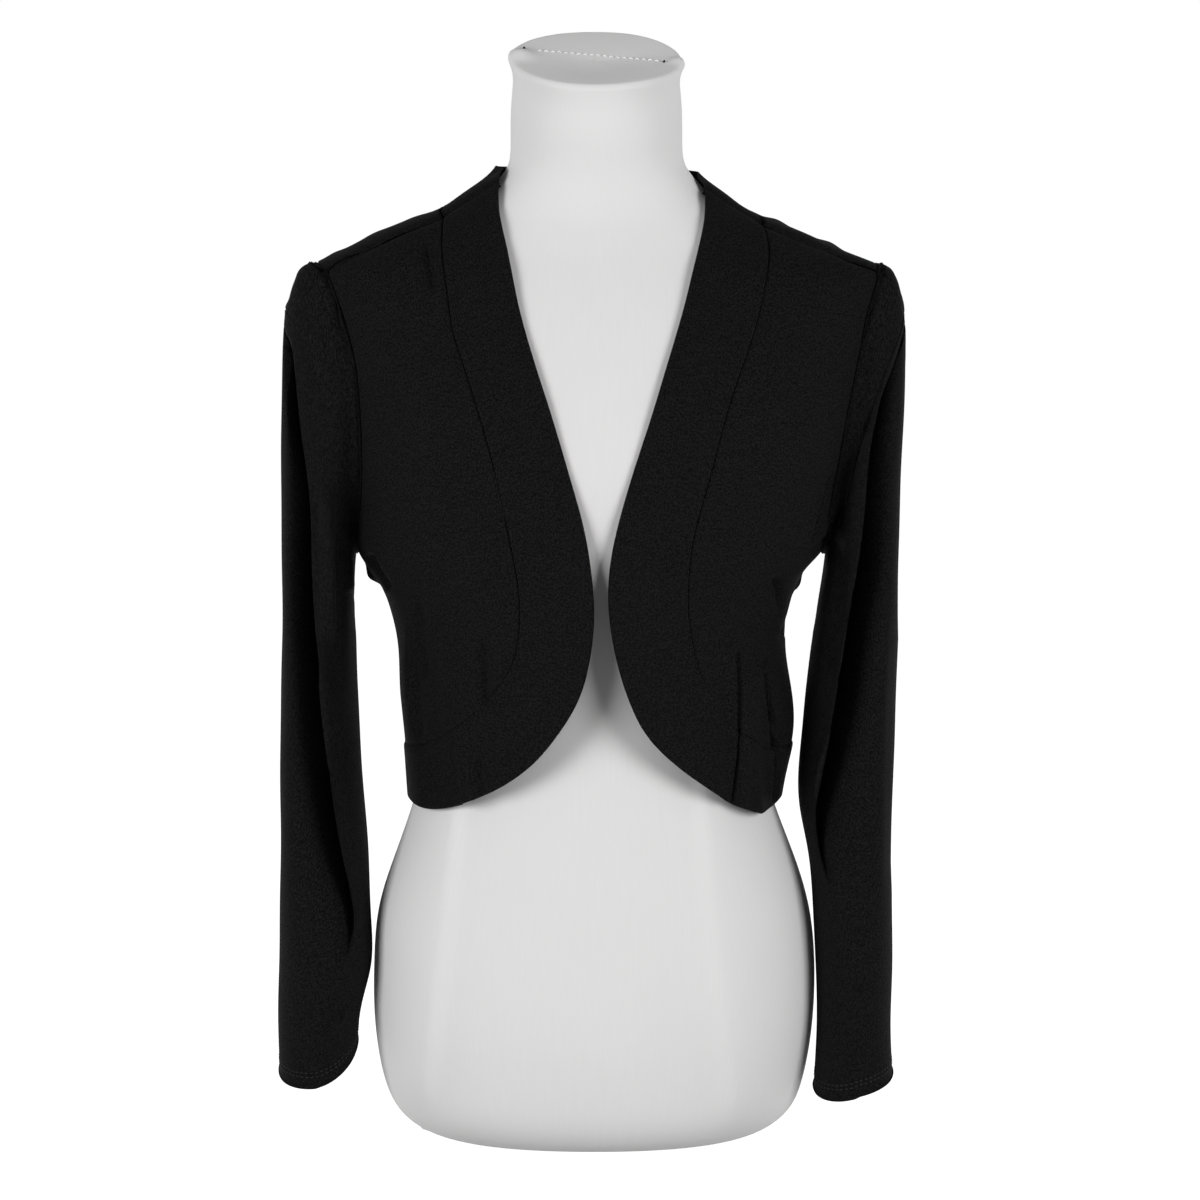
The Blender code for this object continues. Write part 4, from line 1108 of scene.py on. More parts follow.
def grid_mesh(name, grids, closed=False, flip=False):
    """A mesh from grids of (points, u and v in metres), joined where they touch. A closed grid joins its last
    column to its first."""
    points, places, quads, start = [], [], [], 0
    for grid, uv in grids:
        rows, columns = grid.shape[:2]
        numbers = start + np.arange(rows * columns).reshape(rows, columns)
        if closed:
            numbers = np.concatenate([numbers, numbers[:, :1]], axis=1)
            uv = np.concatenate([uv, uv[:, :1] + [closed, 0]], axis=1)
        corners, corner_uv = (
            [part[:-1, :-1], part[:-1, 1:], part[1:, 1:], part[1:, :-1]] for part in (numbers, uv)
        )
        if flip:
            corners, corner_uv = corners[::-1], corner_uv[::-1]
        quads.append(np.stack(corners, axis=-1).reshape(-1, 4))
        places.append(np.stack(corner_uv, axis=2).reshape(-1, 2))
        points.append(grid.reshape(-1, 3))
        start += rows * columns
    quads = np.concatenate(quads)
    mesh = bpy.data.meshes.new(name)
    mesh.from_pydata(np.concatenate(points) * MM, [], quads.tolist())
    layer = mesh.uv_layers.new(name="UVMap")
    layer.uv.foreach_set("vector", np.concatenate(places).astype(np.float32).ravel())
    if len(grids) > 1:
        joined = bmesh.new()
        joined.from_mesh(mesh)
        bmesh.ops.remove_doubles(joined, verts=joined.verts, dist=JOIN_DISTANCE * MM)
        joined.to_mesh(mesh)
        joined.free()
    mesh.shade_smooth()
    return mesh


def add_piece(name, mesh, material):
    """A piece of the object, which rides on the part's one body."""
    mesh.materials.append(material)
    piece = bpy.data.objects.new(name, mesh)
    bpy.context.scene.collection.objects.link(piece)
    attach(piece, "root")
    return piece


def thicken(piece, thickness):
    """Gives a sheet its thickness, inwards from its outer face."""
    solid = piece.modifiers.new("cloth thickness", "SOLIDIFY")
    solid.thickness = thickness
    solid.offset = -1
    solid.use_rim = True
    return piece


def turn_in(points, looks, uv, sides):
    """Draws a grid back from the seams along these sides, by half the gap, and turns its allowance in there,
    so that it meets its neighbour's at the seam's bottom."""
    for side in sides:
        axis, order = from_side(side)
        points, looks, uv = (np.moveaxis(part, axis, 0)[order] for part in (points, looks, uv))
        back = unit(points[1] - points[0])
        edge = points[0] + back * SEAM_GAP / 2
        allowance = points[0] - looks[0] * SEAM_ALLOWANCE + back * SEAM_ROOM
        points = np.concatenate([[allowance, edge], points[1:]])
        looks = np.concatenate([looks[:1], looks])
        uv = np.concatenate([2 * uv[:1] - uv[1:2], uv])
        points, looks, uv = (np.moveaxis(part[order], 0, axis) for part in (points, looks, uv))
    return points, uv


def round_the_body(turn):
    """How far a turn is round the body, in millimetres, at chest height."""
    turns = np.linspace(*ALL_TURNS, ALL_TURNS[1] - ALL_TURNS[0] + 1)
    along = lengths_along(cloth(turns, np.full_like(turns, CHEST_HEIGHT)))
    return np.interp(turn, turns, along)


def body_surface(places):
    """Points of the body's cloth at places on it, which way it looks there, and how far its creases rise."""
    points = cloth(places[..., 0], places[..., 1])
    looks = cloth_normal(places[..., 0], places[..., 1])
    return points, looks, crease_rise(BODY_CREASES, points, 0) + bump_rise(points) + unevenness(points)


def body_grid(places, seams, edge=False, strip=False):
    """Points and u, v of a grid of places on the body, with its creases, seams and edge."""
    points, looks, rise = body_surface(places)
    rise = rise - seam_dip(points, seams)
    if edge:
        rise = rise - edge_fall(points)
    if strip:
        uv = np.stack([lengths_along(points), lengths_along(points.swapaxes(0, 1)).T], axis=-1)
    else:
        uv = np.stack([round_the_body(places[..., 0]), places[..., 1]], axis=-1)
    points, uv = turn_in(points + looks * rise[..., None], looks, uv, seams)
    return points, uv * MM


def sunk_seam(places):
    """Points along a seam of the body where its thread lies, and which way the cloth looks there."""
    points, looks, rise = body_surface(places)
    return points + looks * (rise - THREAD_DEPTH)[:, None], looks


def lay_stitches(name, points, looks, material, slot, length, gap, radius):
    """A row of thread stitches along a line of points, each a short rounded bar bedded in the cloth."""
    along = lengths_along(points)
    count = int(along[-1] / (length + gap))
    middles = (np.arange(count) + 0.5) * along[-1] / count
    ends = [spline(along, points, middles + share * length / 2) for share in (-1, 1)]
    out = unit(spline(along, looks, middles))
    centre = (ends[0] + ends[1]) / 2
    ahead = unit(ends[1] - ends[0])
    aside = unit(np.cross(out, ahead))
    around = np.radians(np.arange(0, 360, 360 / THREAD_SIDES))
    rings = []
    for place, size in STITCH_SHAPE:
        arch = radius * (STITCH_RISE - STITCH_ARCH * place**2)
        middle = centre + ahead * place * length + out * arch
        ring = [middle + (aside * np.cos(a) + out * np.sin(a)) * radius * size for a in around]
        rings.append(np.stack(ring, axis=1))
    made = np.stack(rings, axis=1)
    sides = len(around)
    numbers = np.arange(len(rings) * sides).reshape(len(rings), sides)
    faces = []
    for i in range(len(rings) - 1):
        for j in range(sides):
            k = (j + 1) % sides
            faces.append((numbers[i, j], numbers[i, k], numbers[i + 1, k], numbers[i + 1, j]))
    quads = np.concatenate([np.array(faces) + n * numbers.size for n in range(count)])
    mesh = bpy.data.meshes.new(name)
    mesh.from_pydata(made.reshape(-1, 3) * MM, [], quads.tolist())
    mesh.shade_smooth()
    return add_piece(name, mesh, material)


# ---------------------------------------------------------------------------------------------------------
# Materials
# ---------------------------------------------------------------------------------------------------------


def linear(code):
    """An sRGB hex colour as linear red, green and blue."""
    shares_of_255 = (int(code[i : i + 2], 16) / 255 for i in (1, 3, 5))
    return tuple(c / 12.92 if c <= 0.04045 else ((c + 0.055) / 1.055) ** 2.4 for c in shares_of_255)


def add_node(tree, kind, links=(), **settings):
    """A shader node with its settings, its sockets' values and its links: (socket, other node, output)."""
    node = tree.nodes.new(kind)
    for name, value in settings.items():
        if name in node.inputs:
            node.inputs[name].default_value = value
        else:
            setattr(node, name, value)
    for socket, other, output in links:
        tree.links.new(other.outputs[output], node.inputs[socket])
    return node


def grain(tree, size, place, output="Object", **settings):
    """Noise with grains of a size in millimetres, by the places that another node gives."""
    links = [("Vector", place, output)]
    return add_node(tree, "ShaderNodeTexNoise", links, Scale=1 / (size * MM), **settings)


def make_material(name, roughness, ior, specular=0.5, sheen=0.0):
    """A new material, with its Principled shader and a node for the places on the object."""
    material = bpy.data.materials.new(name)
    material.use_nodes = True
    shader = material.node_tree.nodes["Principled BSDF"]
    shader.inputs["Roughness"].default_value = roughness
    shader.inputs["IOR"].default_value = ior
    shader.inputs["Specular IOR Level"].default_value = specular
    shader.inputs["Sheen Weight"].default_value = sheen
    return material, shader, add_node(material.node_tree, "ShaderNodeTexCoord")


def shade_between(tree, shader, height, dark, light):
    """Colours a surface between two shades of its dye, by a texture's height."""
    shade = add_node(tree, "ShaderNodeMix", data_type="RGBA")
    shade.inputs["A"].default_value = (*dark, 1)
    shade.inputs["B"].default_value = (*light, 1)
    tree.links.new(height, shade.inputs["Factor"])
    tree.links.new(shade.outputs["Result"], shader.inputs["Base Color"])


def bump_surface(tree, shader, height, strength, depth):
    """Raises a surface by a texture's height, with the depth in millimetres."""
    bump = add_node(tree, "ShaderNodeBump", Strength=strength, Distance=depth * MM)
    tree.links.new(height, bump.inputs["Height"])
    tree.links.new(bump.outputs["Normal"], shader.inputs["Normal"])


def tinted(colour, share):
    """A lighter or darker shade of a colour."""
    return tuple(min(1, share * part) for part in colour)


def black_jersey(colour, rib_pitch):
    """Polyester and elastane jersey, circular knitted and dyed black.

    Its loops stand in fine upright ribs, and its short fibres take in most of the light. They give a matt
    black with a broken upright grain, and only a faint grey bloom. The real ribs are 0.5 mm apart, too fine
    to show, so they are drawn coarser.
    """
    name = "black polyester-elastane jersey"
    material, shader, place = make_material(name, 0.75, 1.48, specular=0.04, sheen=0.006)
    shader.inputs["Sheen Roughness"].default_value = 0.5
    tree = material.node_tree
    upright = add_node(tree, "ShaderNodeMapping", [("Vector", place, "UV")], Scale=(1, 0.55, 1))
    ribs = grain(tree, rib_pitch / MM, upright, "Vector", Detail=2.0)
    loops = grain(tree, 1.1, place, Detail=2.0, Roughness=0.6)
    both = add_node(tree, "ShaderNodeMath", [(0, ribs, "Fac"), (1, loops, "Fac")], operation="ADD")
    height = add_node(tree, "ShaderNodeMapRange", [("Value", both, "Value")])
    height.inputs["From Min"].default_value = 0.88
    height.inputs["From Max"].default_value = 1.12
    shade_between(tree, shader, height.outputs["Result"], tinted(colour, 0.25), tinted(colour, 1.8))
    bump_surface(tree, shader, height.outputs["Result"], 0.6, 0.3)
    return material


def thread(name, colour):
    """Spun polyester sewing thread, a little shinier than the cloth, so that each stitch catches light."""
    material, shader, place = make_material(name, 0.6, 1.55, specular=0.2)
    tree = material.node_tree
    twist = grain(tree, 0.8, place)
    shade_between(tree, shader, twist.outputs["Fac"], tinted(colour, 0.6), tinted(colour, 1.4))
    return material


def white_cover(colour, rib_pitch):
    """Cotton and polyester jersey, bleached, stretched over the form.

    Its ribs run up the form and give a soft matt white with a faint upright grain. The real ribs are 0.8 mm
    apart, and are drawn coarser so that they show.
    """
    name = "white cotton-polyester jersey"
    material, shader, place = make_material(name, 0.9, 1.47, specular=0.2, sheen=0.05)
    tree = material.node_tree
    upright = add_node(tree, "ShaderNodeMapping", [("Vector", place, "UV")], Scale=(1, 0.06, 1))
    ribs = grain(tree, rib_pitch / MM, upright, "Vector", Detail=1.0)
    patches = grain(tree, 60, place, Detail=2.0)
    both = add_node(tree, "ShaderNodeMath", [(0, ribs, "Fac"), (1, patches, "Fac")], operation="MULTIPLY")
    height = add_node(tree, "ShaderNodeMapRange", [("Value", both, "Value")])
    height.inputs["From Max"].default_value = 0.5
    shade_between(tree, shader, height.outputs["Result"], tinted(colour, 0.985), tinted(colour, 1.02))
    bump_surface(tree, shader, ribs.outputs["Fac"], 0.15, 0.2)
    return material


def moulded_form(colour):
    """Moulded glass-fibre shell of the form, painted white, with a slight orange-peel grain underneath."""
    material, shader, place = make_material("painted glass-fibre shell", 0.6, 1.5)
    tree = material.node_tree
    peel = grain(tree, 3, place)
    shade_between(tree, shader, peel.outputs["Fac"], tinted(colour, 0.94), colour)
    bump_surface(tree, shader, peel.outputs["Fac"], 0.3, 0.2)
    return material


def studio_paper(colour, glow):
    """Seamless background paper, matt and lit until it is almost pure white."""
    material, shader, place = make_material("seamless background paper", 0.95, 1.45, specular=0.1)
    shader.inputs["Emission Color"].default_value = (*colour, 1)
    shader.inputs["Emission Strength"].default_value = glow
    pulp = grain(material.node_tree, 4, place)
    shade_between(material.node_tree, shader, pulp.outputs["Fac"], tinted(colour, 0.99), colour)
    return material


# ---------------------------------------------------------------------------------------------------------
# Settings
# ---------------------------------------------------------------------------------------------------------


class ShrugSettings(bpy.types.PropertyGroup):
    """The shrug's jersey and thread"""

    jersey_colour: bpy.props.FloatVectorProperty(
        name="Jersey colour",
        description="Dyed colour of the shrug",
        subtype="COLOR",
        default=linear("#111112"),
    )
    thread_colour: bpy.props.FloatVectorProperty(
        name="Thread colour",
        description="Colour of the sewing thread",
        subtype="COLOR",
        default=linear("#18191B"),
    )
    thickness: bpy.props.FloatProperty(
        name="Cloth", description="Thickness of the jersey at its turnings", unit="LENGTH", default=1.2 * MM
    )
    rib_pitch: bpy.props.FloatProperty(
        name="Rib pitch",
        description="Distance between the knit's drawn ribs",
        unit="LENGTH",
        default=0.8 * MM,
    )
    stitch_length: bpy.props.FloatProperty(
        name="Stitch", description="Length of a stitch that shows", unit="LENGTH", default=2.1 * MM
    )


class FormSettings(bpy.types.PropertyGroup):
    """The form's cover and shell"""

    cover_colour: bpy.props.FloatVectorProperty(
        name="Cover colour",
        description="Colour of the form's cover",
        subtype="COLOR",
        default=linear("#DEDDDD"),
    )
    thread_colour: bpy.props.FloatVectorProperty(
        name="Thread colour",
        description="Colour of the cover's thread",
        subtype="COLOR",
        default=linear("#F2F2F2"),
    )
    shell_colour: bpy.props.FloatVectorProperty(
        name="Shell colour",
        description="Paint of the form's shell",
        subtype="COLOR",
        default=linear("#D5D3D0"),
    )
    thickness: bpy.props.FloatProperty(
        name="Cover", description="Thickness of the form's cover", unit="LENGTH", default=0.8 * MM
    )
    rib_pitch: bpy.props.FloatProperty(
        name="Rib pitch",
        description="Distance between the cover's drawn ribs",
        unit="LENGTH",
        default=1.8 * MM,
    )


class StageSettings(bpy.types.PropertyGroup):
    """The floor and the lights"""

    paper_colour: bpy.props.FloatVectorProperty(
        name="Paper colour", description="Colour of the floor", subtype="COLOR", default=linear("#FAFAFA")
    )
    floor_radius: bpy.props.FloatProperty(
        name="Floor", description="Radius of the floor", unit="LENGTH", default=30
    )
    paper_glow: bpy.props.FloatProperty(
        name="Paper glow", description="Light that the lit paper gives by itself", default=0.8
    )
    key_power: bpy.props.FloatProperty(
        name="Key light", description="Power of the large soft light", unit="POWER", default=97
    )
    room_light: bpy.props.FloatProperty(
        name="Room light", description="Strength of the light from all round", default=0.27
    )


class Finishes:
    """The materials that several pieces share, made once."""

    made = {}

    @classmethod
    def get(cls, name):
        """The material of that name, made when it is first asked for."""
        scene = bpy.context.scene
        makers = {
            "jersey": lambda: black_jersey(scene.shrug.jersey_colour, scene.shrug.rib_pitch),
            "thread": lambda: thread("black polyester sewing thread", scene.shrug.thread_colour),
            "white_thread": lambda: thread("white polyester sewing thread", scene.dress_form.thread_colour),
            "cover": lambda: white_cover(scene.dress_form.cover_colour, scene.dress_form.rib_pitch),
            "shell": lambda: moulded_form(scene.dress_form.shell_colour),
        }
        if name not in cls.made:
            cls.made[name] = makers[name]()
        return cls.made[name]


# ---------------------------------------------------------------------------------------------------------
# Operators
# ---------------------------------------------------------------------------------------------------------


def form_rings(shrink, spacing, columns):
    """Points of the form's outside from its base to its neck cap, moved in by shrink."""
    profile = np.stack([FORM_RINGS["height"], FORM_RINGS["right"]], axis=-1)
    along = lengths_along(profile)
    to_rim = along[-1] - RIM_LENGTH
    over_rim = np.linspace(to_rim, along[-1], RIM_RINGS)
    at = np.concatenate([np.linspace(0, to_rim, int(to_rim / spacing))[:-1], over_rim])
    rings = {name: spline(along, column, at) for name, column in FORM_RINGS.items()}
    sizes = [rings[name] - shrink for name in ("right", "left", "front", "back")]
    turn = np.linspace(0, 360, columns, endpoint=False)[None, :]
    x, y = ring_point(*sizes, rings["lean"], rings["fullness"], turn)
    height = np.clip(rings["height"], shrink, CAP_HEIGHT - shrink)
    aside = np.clip(np.abs(x) / CAP_HALF_WIDTH, 0, 1) ** 3 * ease((height - DROOP_START) / DROOP_FADE)
    droop = np.where(x > 0, CAP_DROOP[LEFT], CAP_DROOP[RIGHT]) * aside
    return np.stack([x, y, height + rings["slope"] * (y - rings["lean"]) - droop], axis=-1)


def closing_rings(ring, count):
    """Rings from a ring to its middle."""
    middle = ring.mean(axis=0)
    share = np.linspace(1, LAST_RING, count + 1)[1:, None, None]
    return middle + (ring - middle) * share


def form_surface(shrink, spacing, columns):
    """The form's outside, closed at base and cap, with its soft edges and bumps, moved in by shrink."""
    rings = form_rings(shrink, spacing, columns)
    base = closing_rings(rings[0], BASE_RINGS)[::-1]
    points = np.concatenate([base, rings, closing_rings(rings[-1], CAP_RINGS)])
    looks = across_tube(points)
    looks = looks / np.maximum(np.linalg.norm(looks, axis=-1, keepdims=True), 1e-6)
    rise = crease_rise(COVER_CREASES, points, 0) + bump_rise(points, COVER_BUMPS)
    return points + looks * rise[..., None]


class SHRUG_OT_dress_form(bpy.types.Operator):
    """Add the dress form: its shell and the cover stretched over it"""

    bl_idname = "shrug.dress_form"
    bl_label = "Add dress form"

    def execute(self, context):
        settings = context.scene.dress_form
        shell = form_surface(settings.thickness / MM + SHELL_GAP, SHELL_SPACING, SHELL_COLUMNS)
        uv = np.zeros(shell.shape[:2] + (2,))
        mesh = grid_mesh("form_shell", [(shell, uv)], closed=1e-6)
        add_piece("form_shell", mesh, Finishes.get("shell"))

        points = form_surface(0, COVER_SPACING, COVER_COLUMNS)
        girth = COVER_GIRTH * MM
        turned = np.linspace(0, girth, COVER_COLUMNS, endpoint=False)
        uv = np.stack([np.broadcast_to(turned, points.shape[:2]), points[..., 2] * MM], axis=-1)
        mesh = grid_mesh("form_cover", [(points, uv)], closed=girth)
        cover = add_piece("form_cover", mesh, Finishes.get("cover"))
        thicken(cover, settings.thickness)
        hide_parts("dress_form")
        self.sew_cap()
        return {"FINISHED"}

    def sew_cap(self):
        """Thread along the cap's seam, and a dark mark of black thread at each of its ends, painted shade for
        the shaded hollows there.
        """
        cap = closing_rings(form_rings(0, COVER_SPACING, COVER_COLUMNS)[-1], CAP_RINGS)
        first, last = np.array(CAP_SEAM, float)
        line = self.on_cap(cap, first + (last - first) * np.linspace(0, 1, CAP_SEAM_POINTS)[:, None])
        out = np.broadcast_to(unit(np.array(CAP_LOOKS)), line.shape)
        lay_stitches("cap_seam", line, out, Finishes.get("white_thread"), "white_cover", *CAP_STITCH)
        # Painted shade: short dark bars of black thread where the ends of the seam lie in shade.
        for name, middle in CAP_SHADE_MARKS.items():
            shade_bar = self.on_cap(cap, middle + np.outer([1, -1], CAP_SHADE_MARK))
            name = "cap_shade_mark_" + name
            lay_stitches(name, shade_bar, out[:2], Finishes.get("thread"), "black_jersey", *CAP_SHADE_MARK_STITCH)

    def on_cap(self, cap, places):
        """Points on the cap, straight above places of x and y."""
        flat = cap.reshape(-1, 3)
        flat = flat + [0, 0, 1] * bump_rise(flat, COVER_BUMPS)[:, None]
        away = ((flat[None, :, :2] - places[:, None]) ** 2).sum(axis=-1)
        near = 1 / (away + CAP_NEARNESS) ** 2
        height = (near * flat[:, 2]).sum(axis=1) / near.sum(axis=1)
        return np.column_stack([places, height + CAP_THREAD_RISE])


def add_jersey(context, name, grids, closed=False, flip=False):
    """A piece of the shrug's cloth, which stands for the solid of that name."""
    mesh = grid_mesh("jersey_" + name, grids, closed=closed, flip=flip)
    piece = add_piece("jersey_" + name, mesh, Finishes.get("jersey"))
    thicken(piece, context.scene.shrug.thickness)
    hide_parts(name)
    return piece


def sew(context, name, points, looks):
    """A row of the shrug's stitches along a line of points."""
    length = context.scene.shrug.stitch_length / MM
    gap = STITCH_PITCH - length
    lay_stitches(name, points, looks, Finishes.get("thread"), "black_jersey", length, gap, THREAD_RADIUS)


class SHRUG_OT_fronts(bpy.types.Operator):
    """Add the left and the right front, from shoulder seam to border"""

    bl_idname = "shrug.fronts"
    bl_label = "Add fronts"

    def execute(self, context):
        for side in (RIGHT, LEFT):
            name = "front_" + SIDE_NAMES[side]
            grid = body_grid(front_panel(side), ("top", "bottom", "start", "end"))
            piece = add_jersey(context, name, [grid], flip=side == LEFT)
        return {"FINISHED"}


class SHRUG_OT_back(bpy.types.Operator):
    """Add the back, in one piece with its yokes"""

    bl_idname = "shrug.back"
    bl_label = "Add back"

    def execute(self, context):
        right, left, lower = back_panels()
        grids = [
            body_grid(right[:, ::-1], ("top", "start", "end")),
            body_grid(left, ("top", "start", "end")),
            body_grid(lower, ("bottom", "start", "end")),
        ]
        piece = add_jersey(context, "back", grids)
        return {"FINISHED"}


class SHRUG_OT_borders(bpy.types.Operator):
    """Add the borders of the fronts, the back neck and the back hem"""

    bl_idname = "shrug.borders"
    bl_label = "Add borders"

    def execute(self, context):
        strips = {}
        for side in (RIGHT, LEFT):
            strip = border_strip(*front_border(side, ALONG_FRONT_BORDER))
            strips["border_front_" + SIDE_NAMES[side]] = (strip, side == LEFT)
        lines = []
        for name in ("edge", "seam"):
            halves = [half_back_neck(side, name, ALONG_NECK_BORDER) for side in (RIGHT, LEFT)]
            lines.append(np.vstack([halves[0], halves[1][-2::-1]]))
        strips["border_back_neck"] = (border_strip(*lines), False)
        lines = [back_hem(name, ALONG_HEM_BORDER) for name in ("edge", "seam")]
        strips["border_back_hem"] = (border_strip(*lines), True)
        for side in (RIGHT, LEFT):
            seam = front_border(side, np.linspace(*STITCHED_SHARE, SEAM_POINTS))[1]
            sew(context, "stitches_border_" + SIDE_NAMES[side], *sunk_seam(seam))
        for name, (places, flip) in strips.items():
            grid = body_grid(places, ("bottom", "start", "end"), edge=True, strip=True)
            piece = add_jersey(context, name, [grid], flip=flip)
            flat = BORDER_CUTS.get(name, FRONT_BORDER_CUT)
        return {"FINISHED"}


class SHRUG_OT_sleeves(bpy.types.Operator):
    """Add the long set-in sleeves"""

    bl_idname = "shrug.sleeves"
    bl_label = "Add sleeves"

    def execute(self, context):
        for side in (RIGHT, LEFT):
            name = "sleeve_" + SIDE_NAMES[side]
            columns = np.arange(0, 2 * ARMHOLE_STEPS, ROUND_HEAD)
            points = sleeve_points(side, columns)
            looks = unit(across_tube(points)) * -side
            down = lengths_along(points)
            near = ease(down / ARMHOLE_REACH)[..., None]
            looks = unit(cloth_normal(*round_armhole(side, columns)) * (1 - near) + looks * near)
            rise = crease_rise(SLEEVE_CREASES[side], points * [side, 1, 1], SLEEVE_MIDDLE)
            rise = rise + bump_rise(points) + unevenness(points)
            rise = rise - seam_dip(points, ("top",)) - edge_fall(points[::-1])[::-1]
            uv = np.stack(np.broadcast_arrays(sleeve_angle(columns) * DEGREE_WIDTH, down), axis=-1)
            points = points + looks * rise[..., None]
            sewn = [self.sew_hem(context, name, points, looks, above) for above in HEM_STITCHES]
            points, uv = turn_in(points, looks, uv, ("top",))
            girth = 360 * DEGREE_WIDTH * MM
            piece = add_jersey(context, name, [(points, uv * MM)], closed=girth, flip=side == RIGHT)
        return {"FINISHED"}

    def sew_hem(self, context, name, points, looks, above):
        """One row of stitches round a sleeve, at a height above its edge."""
        away = lengths_along(points[::-1])[::-1]
        row = np.argmax(away < above, axis=0)
        column = np.arange(points.shape[1])
        share = (above - away[row, column]) / (away[row - 1, column] - away[row, column])
        line = points[row, column] + (points[row - 1, column] - points[row, column]) * share[:, None]
        out = looks[row, column]
        line, out = (np.vstack([part, part[:1]]) for part in (line, out))
        row_name = "stitches_" + name + "_" + str(above)
        sew(context, row_name, line - out * THREAD_DEPTH / 2, out)
        return row_name


# The stage, in metres: the camera, the floor and the lights.
CAMERA_PLACE = (0.0043, -2.6, 0.58)
CAMERA_AIM = (0.0043, 0, 0.392)
CAMERA_LENS = 108.616  # millimetres, as the sensor's width
CAMERA_SENSOR = 36
FLOOR_HEIGHT = -0.0004
FLOOR_CORNERS = 64
KEY_LIGHT_PLACE = (-2.76, -2.76, 1.05)
SECOND_LIGHT_PLACE = (2.76, -2.76, 1.0)
SECOND_LIGHT_SHARE = 0.95  # of the key light's power
LIGHT_SIZE = 1.8
LIGHT_AIM = (0, 0, 0.4)
# How bright the room's walls and its ceiling are, as shares of its light.
FRONT_WALL = 0.5
BACK_WALL = 2.9
CEILING = 0.35


def aim(thing, place):
    """Turns a camera or a light to a place."""
    thing.rotation_euler = (Vector(place) - thing.location).to_track_quat("-Z", "Y").to_euler()


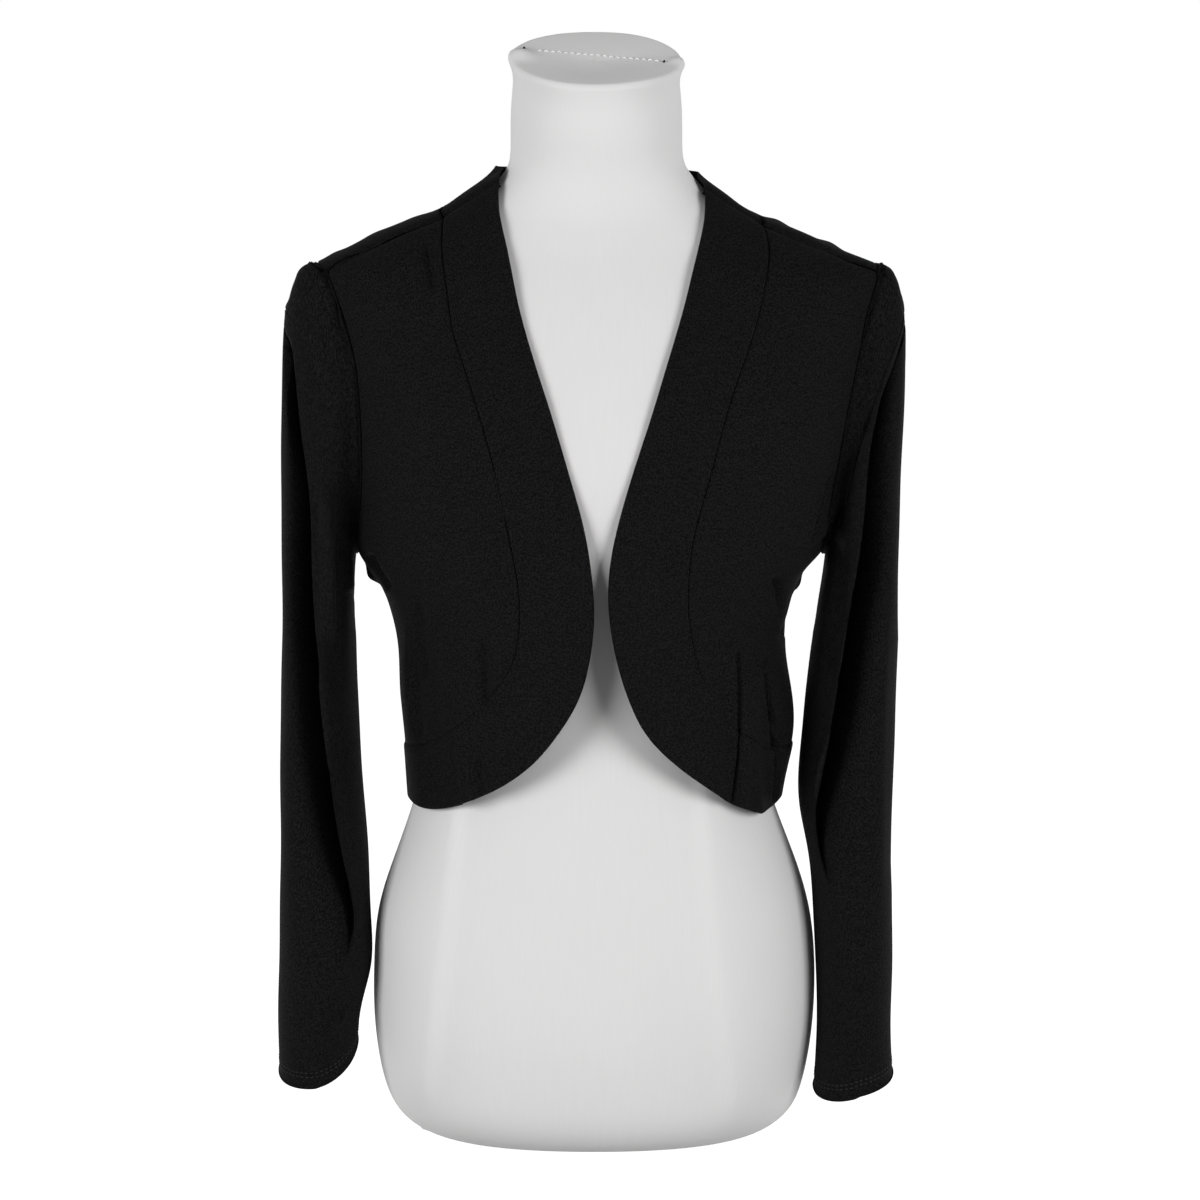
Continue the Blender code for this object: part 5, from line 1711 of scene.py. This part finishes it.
class SHRUG_OT_stage(bpy.types.Operator):
    """Add the pale floor, the soft lights and the camera"""

    bl_idname = "shrug.stage"
    bl_label = "Add stage"

    def execute(self, context):
        settings = context.scene.stage
        turn = np.linspace(0, 2 * np.pi, FLOOR_CORNERS, endpoint=False)
        x, y = settings.floor_radius * np.array([np.cos(turn), np.sin(turn)])
        points = np.stack([x, y, np.full_like(x, FLOOR_HEIGHT)], axis=-1)
        mesh = bpy.data.meshes.new("floor")
        mesh.from_pydata(points, [], [tuple(range(FLOOR_CORNERS))])
        mesh.materials.append(studio_paper(settings.paper_colour, settings.paper_glow))
        floor = bpy.data.objects.new("floor", mesh)
        context.scene.collection.objects.link(floor)
        # The white paper doesn't light the form from below, as dark flags round the set would see to.
        floor.visible_diffuse = False

        self.add_light("key light", KEY_LIGHT_PLACE, settings.key_power)
        self.add_light("second light", SECOND_LIGHT_PLACE, settings.key_power * SECOND_LIGHT_SHARE)
        self.light_room(settings.room_light)
        context.scene.view_settings.view_transform = "Standard"

        lens = bpy.data.cameras.new("camera")
        lens.sensor_width = CAMERA_SENSOR
        lens.lens = CAMERA_LENS
        camera = bpy.data.objects.new("camera", lens)
        camera.location = CAMERA_PLACE
        aim(camera, CAMERA_AIM)
        context.scene.collection.objects.link(camera)
        context.scene.camera = camera
        return {"FINISHED"}

    def light_room(self, strength):
        """A white room, seen as pure white. Its back wall is the brightest, and its light fades upwards."""
        world = bpy.data.worlds.new("studio")
        world.use_nodes = True
        tree = world.node_tree
        seen = tree.nodes["Background"]
        seen.inputs["Color"].default_value = (1, 1, 1, 1)
        seen.inputs["Strength"].default_value = 1
        way = add_node(tree, "ShaderNodeTexCoord")
        split = add_node(tree, "ShaderNodeSeparateXYZ", [("Vector", way, "Generated")])
        walls = add_node(tree, "ShaderNodeMapRange", [("Value", split, "Y")])
        walls.inputs["From Min"].default_value = -1
        walls.inputs["To Min"].default_value = FRONT_WALL * strength
        walls.inputs["To Max"].default_value = BACK_WALL * strength
        ceiling = add_node(tree, "ShaderNodeMapRange", [("Value", split, "Z")])
        ceiling.inputs["To Min"].default_value = 1
        ceiling.inputs["To Max"].default_value = CEILING
        links = [(0, walls, "Result"), (1, ceiling, "Result")]
        both = add_node(tree, "ShaderNodeMath", links, operation="MULTIPLY")
        lighting = add_node(tree, "ShaderNodeBackground", [("Strength", both, "Value")], Color=(1, 1, 1, 1))
        rays = add_node(tree, "ShaderNodeLightPath")
        links = [("Fac", rays, "Is Camera Ray"), (1, lighting, "Background"), (2, seen, "Background")]
        mixed = add_node(tree, "ShaderNodeMixShader", links)
        tree.links.new(mixed.outputs["Shader"], tree.nodes["World Output"].inputs["Surface"])
        bpy.context.scene.world = world

    def add_light(self, name, place, power):
        """A large square light, aimed at the object."""
        lamp = bpy.data.lights.new(name, "AREA")
        lamp.size = LIGHT_SIZE
        lamp.energy = power
        light = bpy.data.objects.new(name, lamp)
        light.location = place
        aim(light, LIGHT_AIM)
        bpy.context.scene.collection.objects.link(light)


class SHRUG_PT_pieces(bpy.types.Panel):
    """The operators and their settings, in the 3D view's sidebar"""

    bl_idname = "SHRUG_PT_pieces"
    bl_label = "Shrug"
    bl_space_type = "VIEW_3D"
    bl_region_type = "UI"
    bl_category = "Shrug"

    def draw(self, context):
        scene = context.scene
        for settings in (scene.shrug, scene.dress_form, scene.stage):
            for name in settings.__annotations__:
                self.layout.prop(settings, name)
        for operator in OPERATORS:
            self.layout.operator(operator.bl_idname)


SETTINGS = (ShrugSettings, FormSettings, StageSettings)
OPERATORS = (
    SHRUG_OT_dress_form,
    SHRUG_OT_fronts,
    SHRUG_OT_back,
    SHRUG_OT_borders,
    SHRUG_OT_sleeves,
    SHRUG_OT_stage,
)


def register():
    for cls in (*SETTINGS, *OPERATORS, SHRUG_PT_pieces):
        bpy.utils.register_class(cls)
    bpy.types.Scene.shrug = bpy.props.PointerProperty(type=ShrugSettings)
    bpy.types.Scene.dress_form = bpy.props.PointerProperty(type=FormSettings)
    bpy.types.Scene.stage = bpy.props.PointerProperty(type=StageSettings)


def unregister():
    del bpy.types.Scene.shrug, bpy.types.Scene.dress_form, bpy.types.Scene.stage
    for cls in (SHRUG_PT_pieces, *OPERATORS[::-1], *SETTINGS[::-1]):
        bpy.utils.unregister_class(cls)


def main():
    register()
    for operator in OPERATORS:
        group, name = operator.bl_idname.split(".")
        getattr(getattr(bpy.ops, group), name)()


if __name__ == "__main__":
    main()
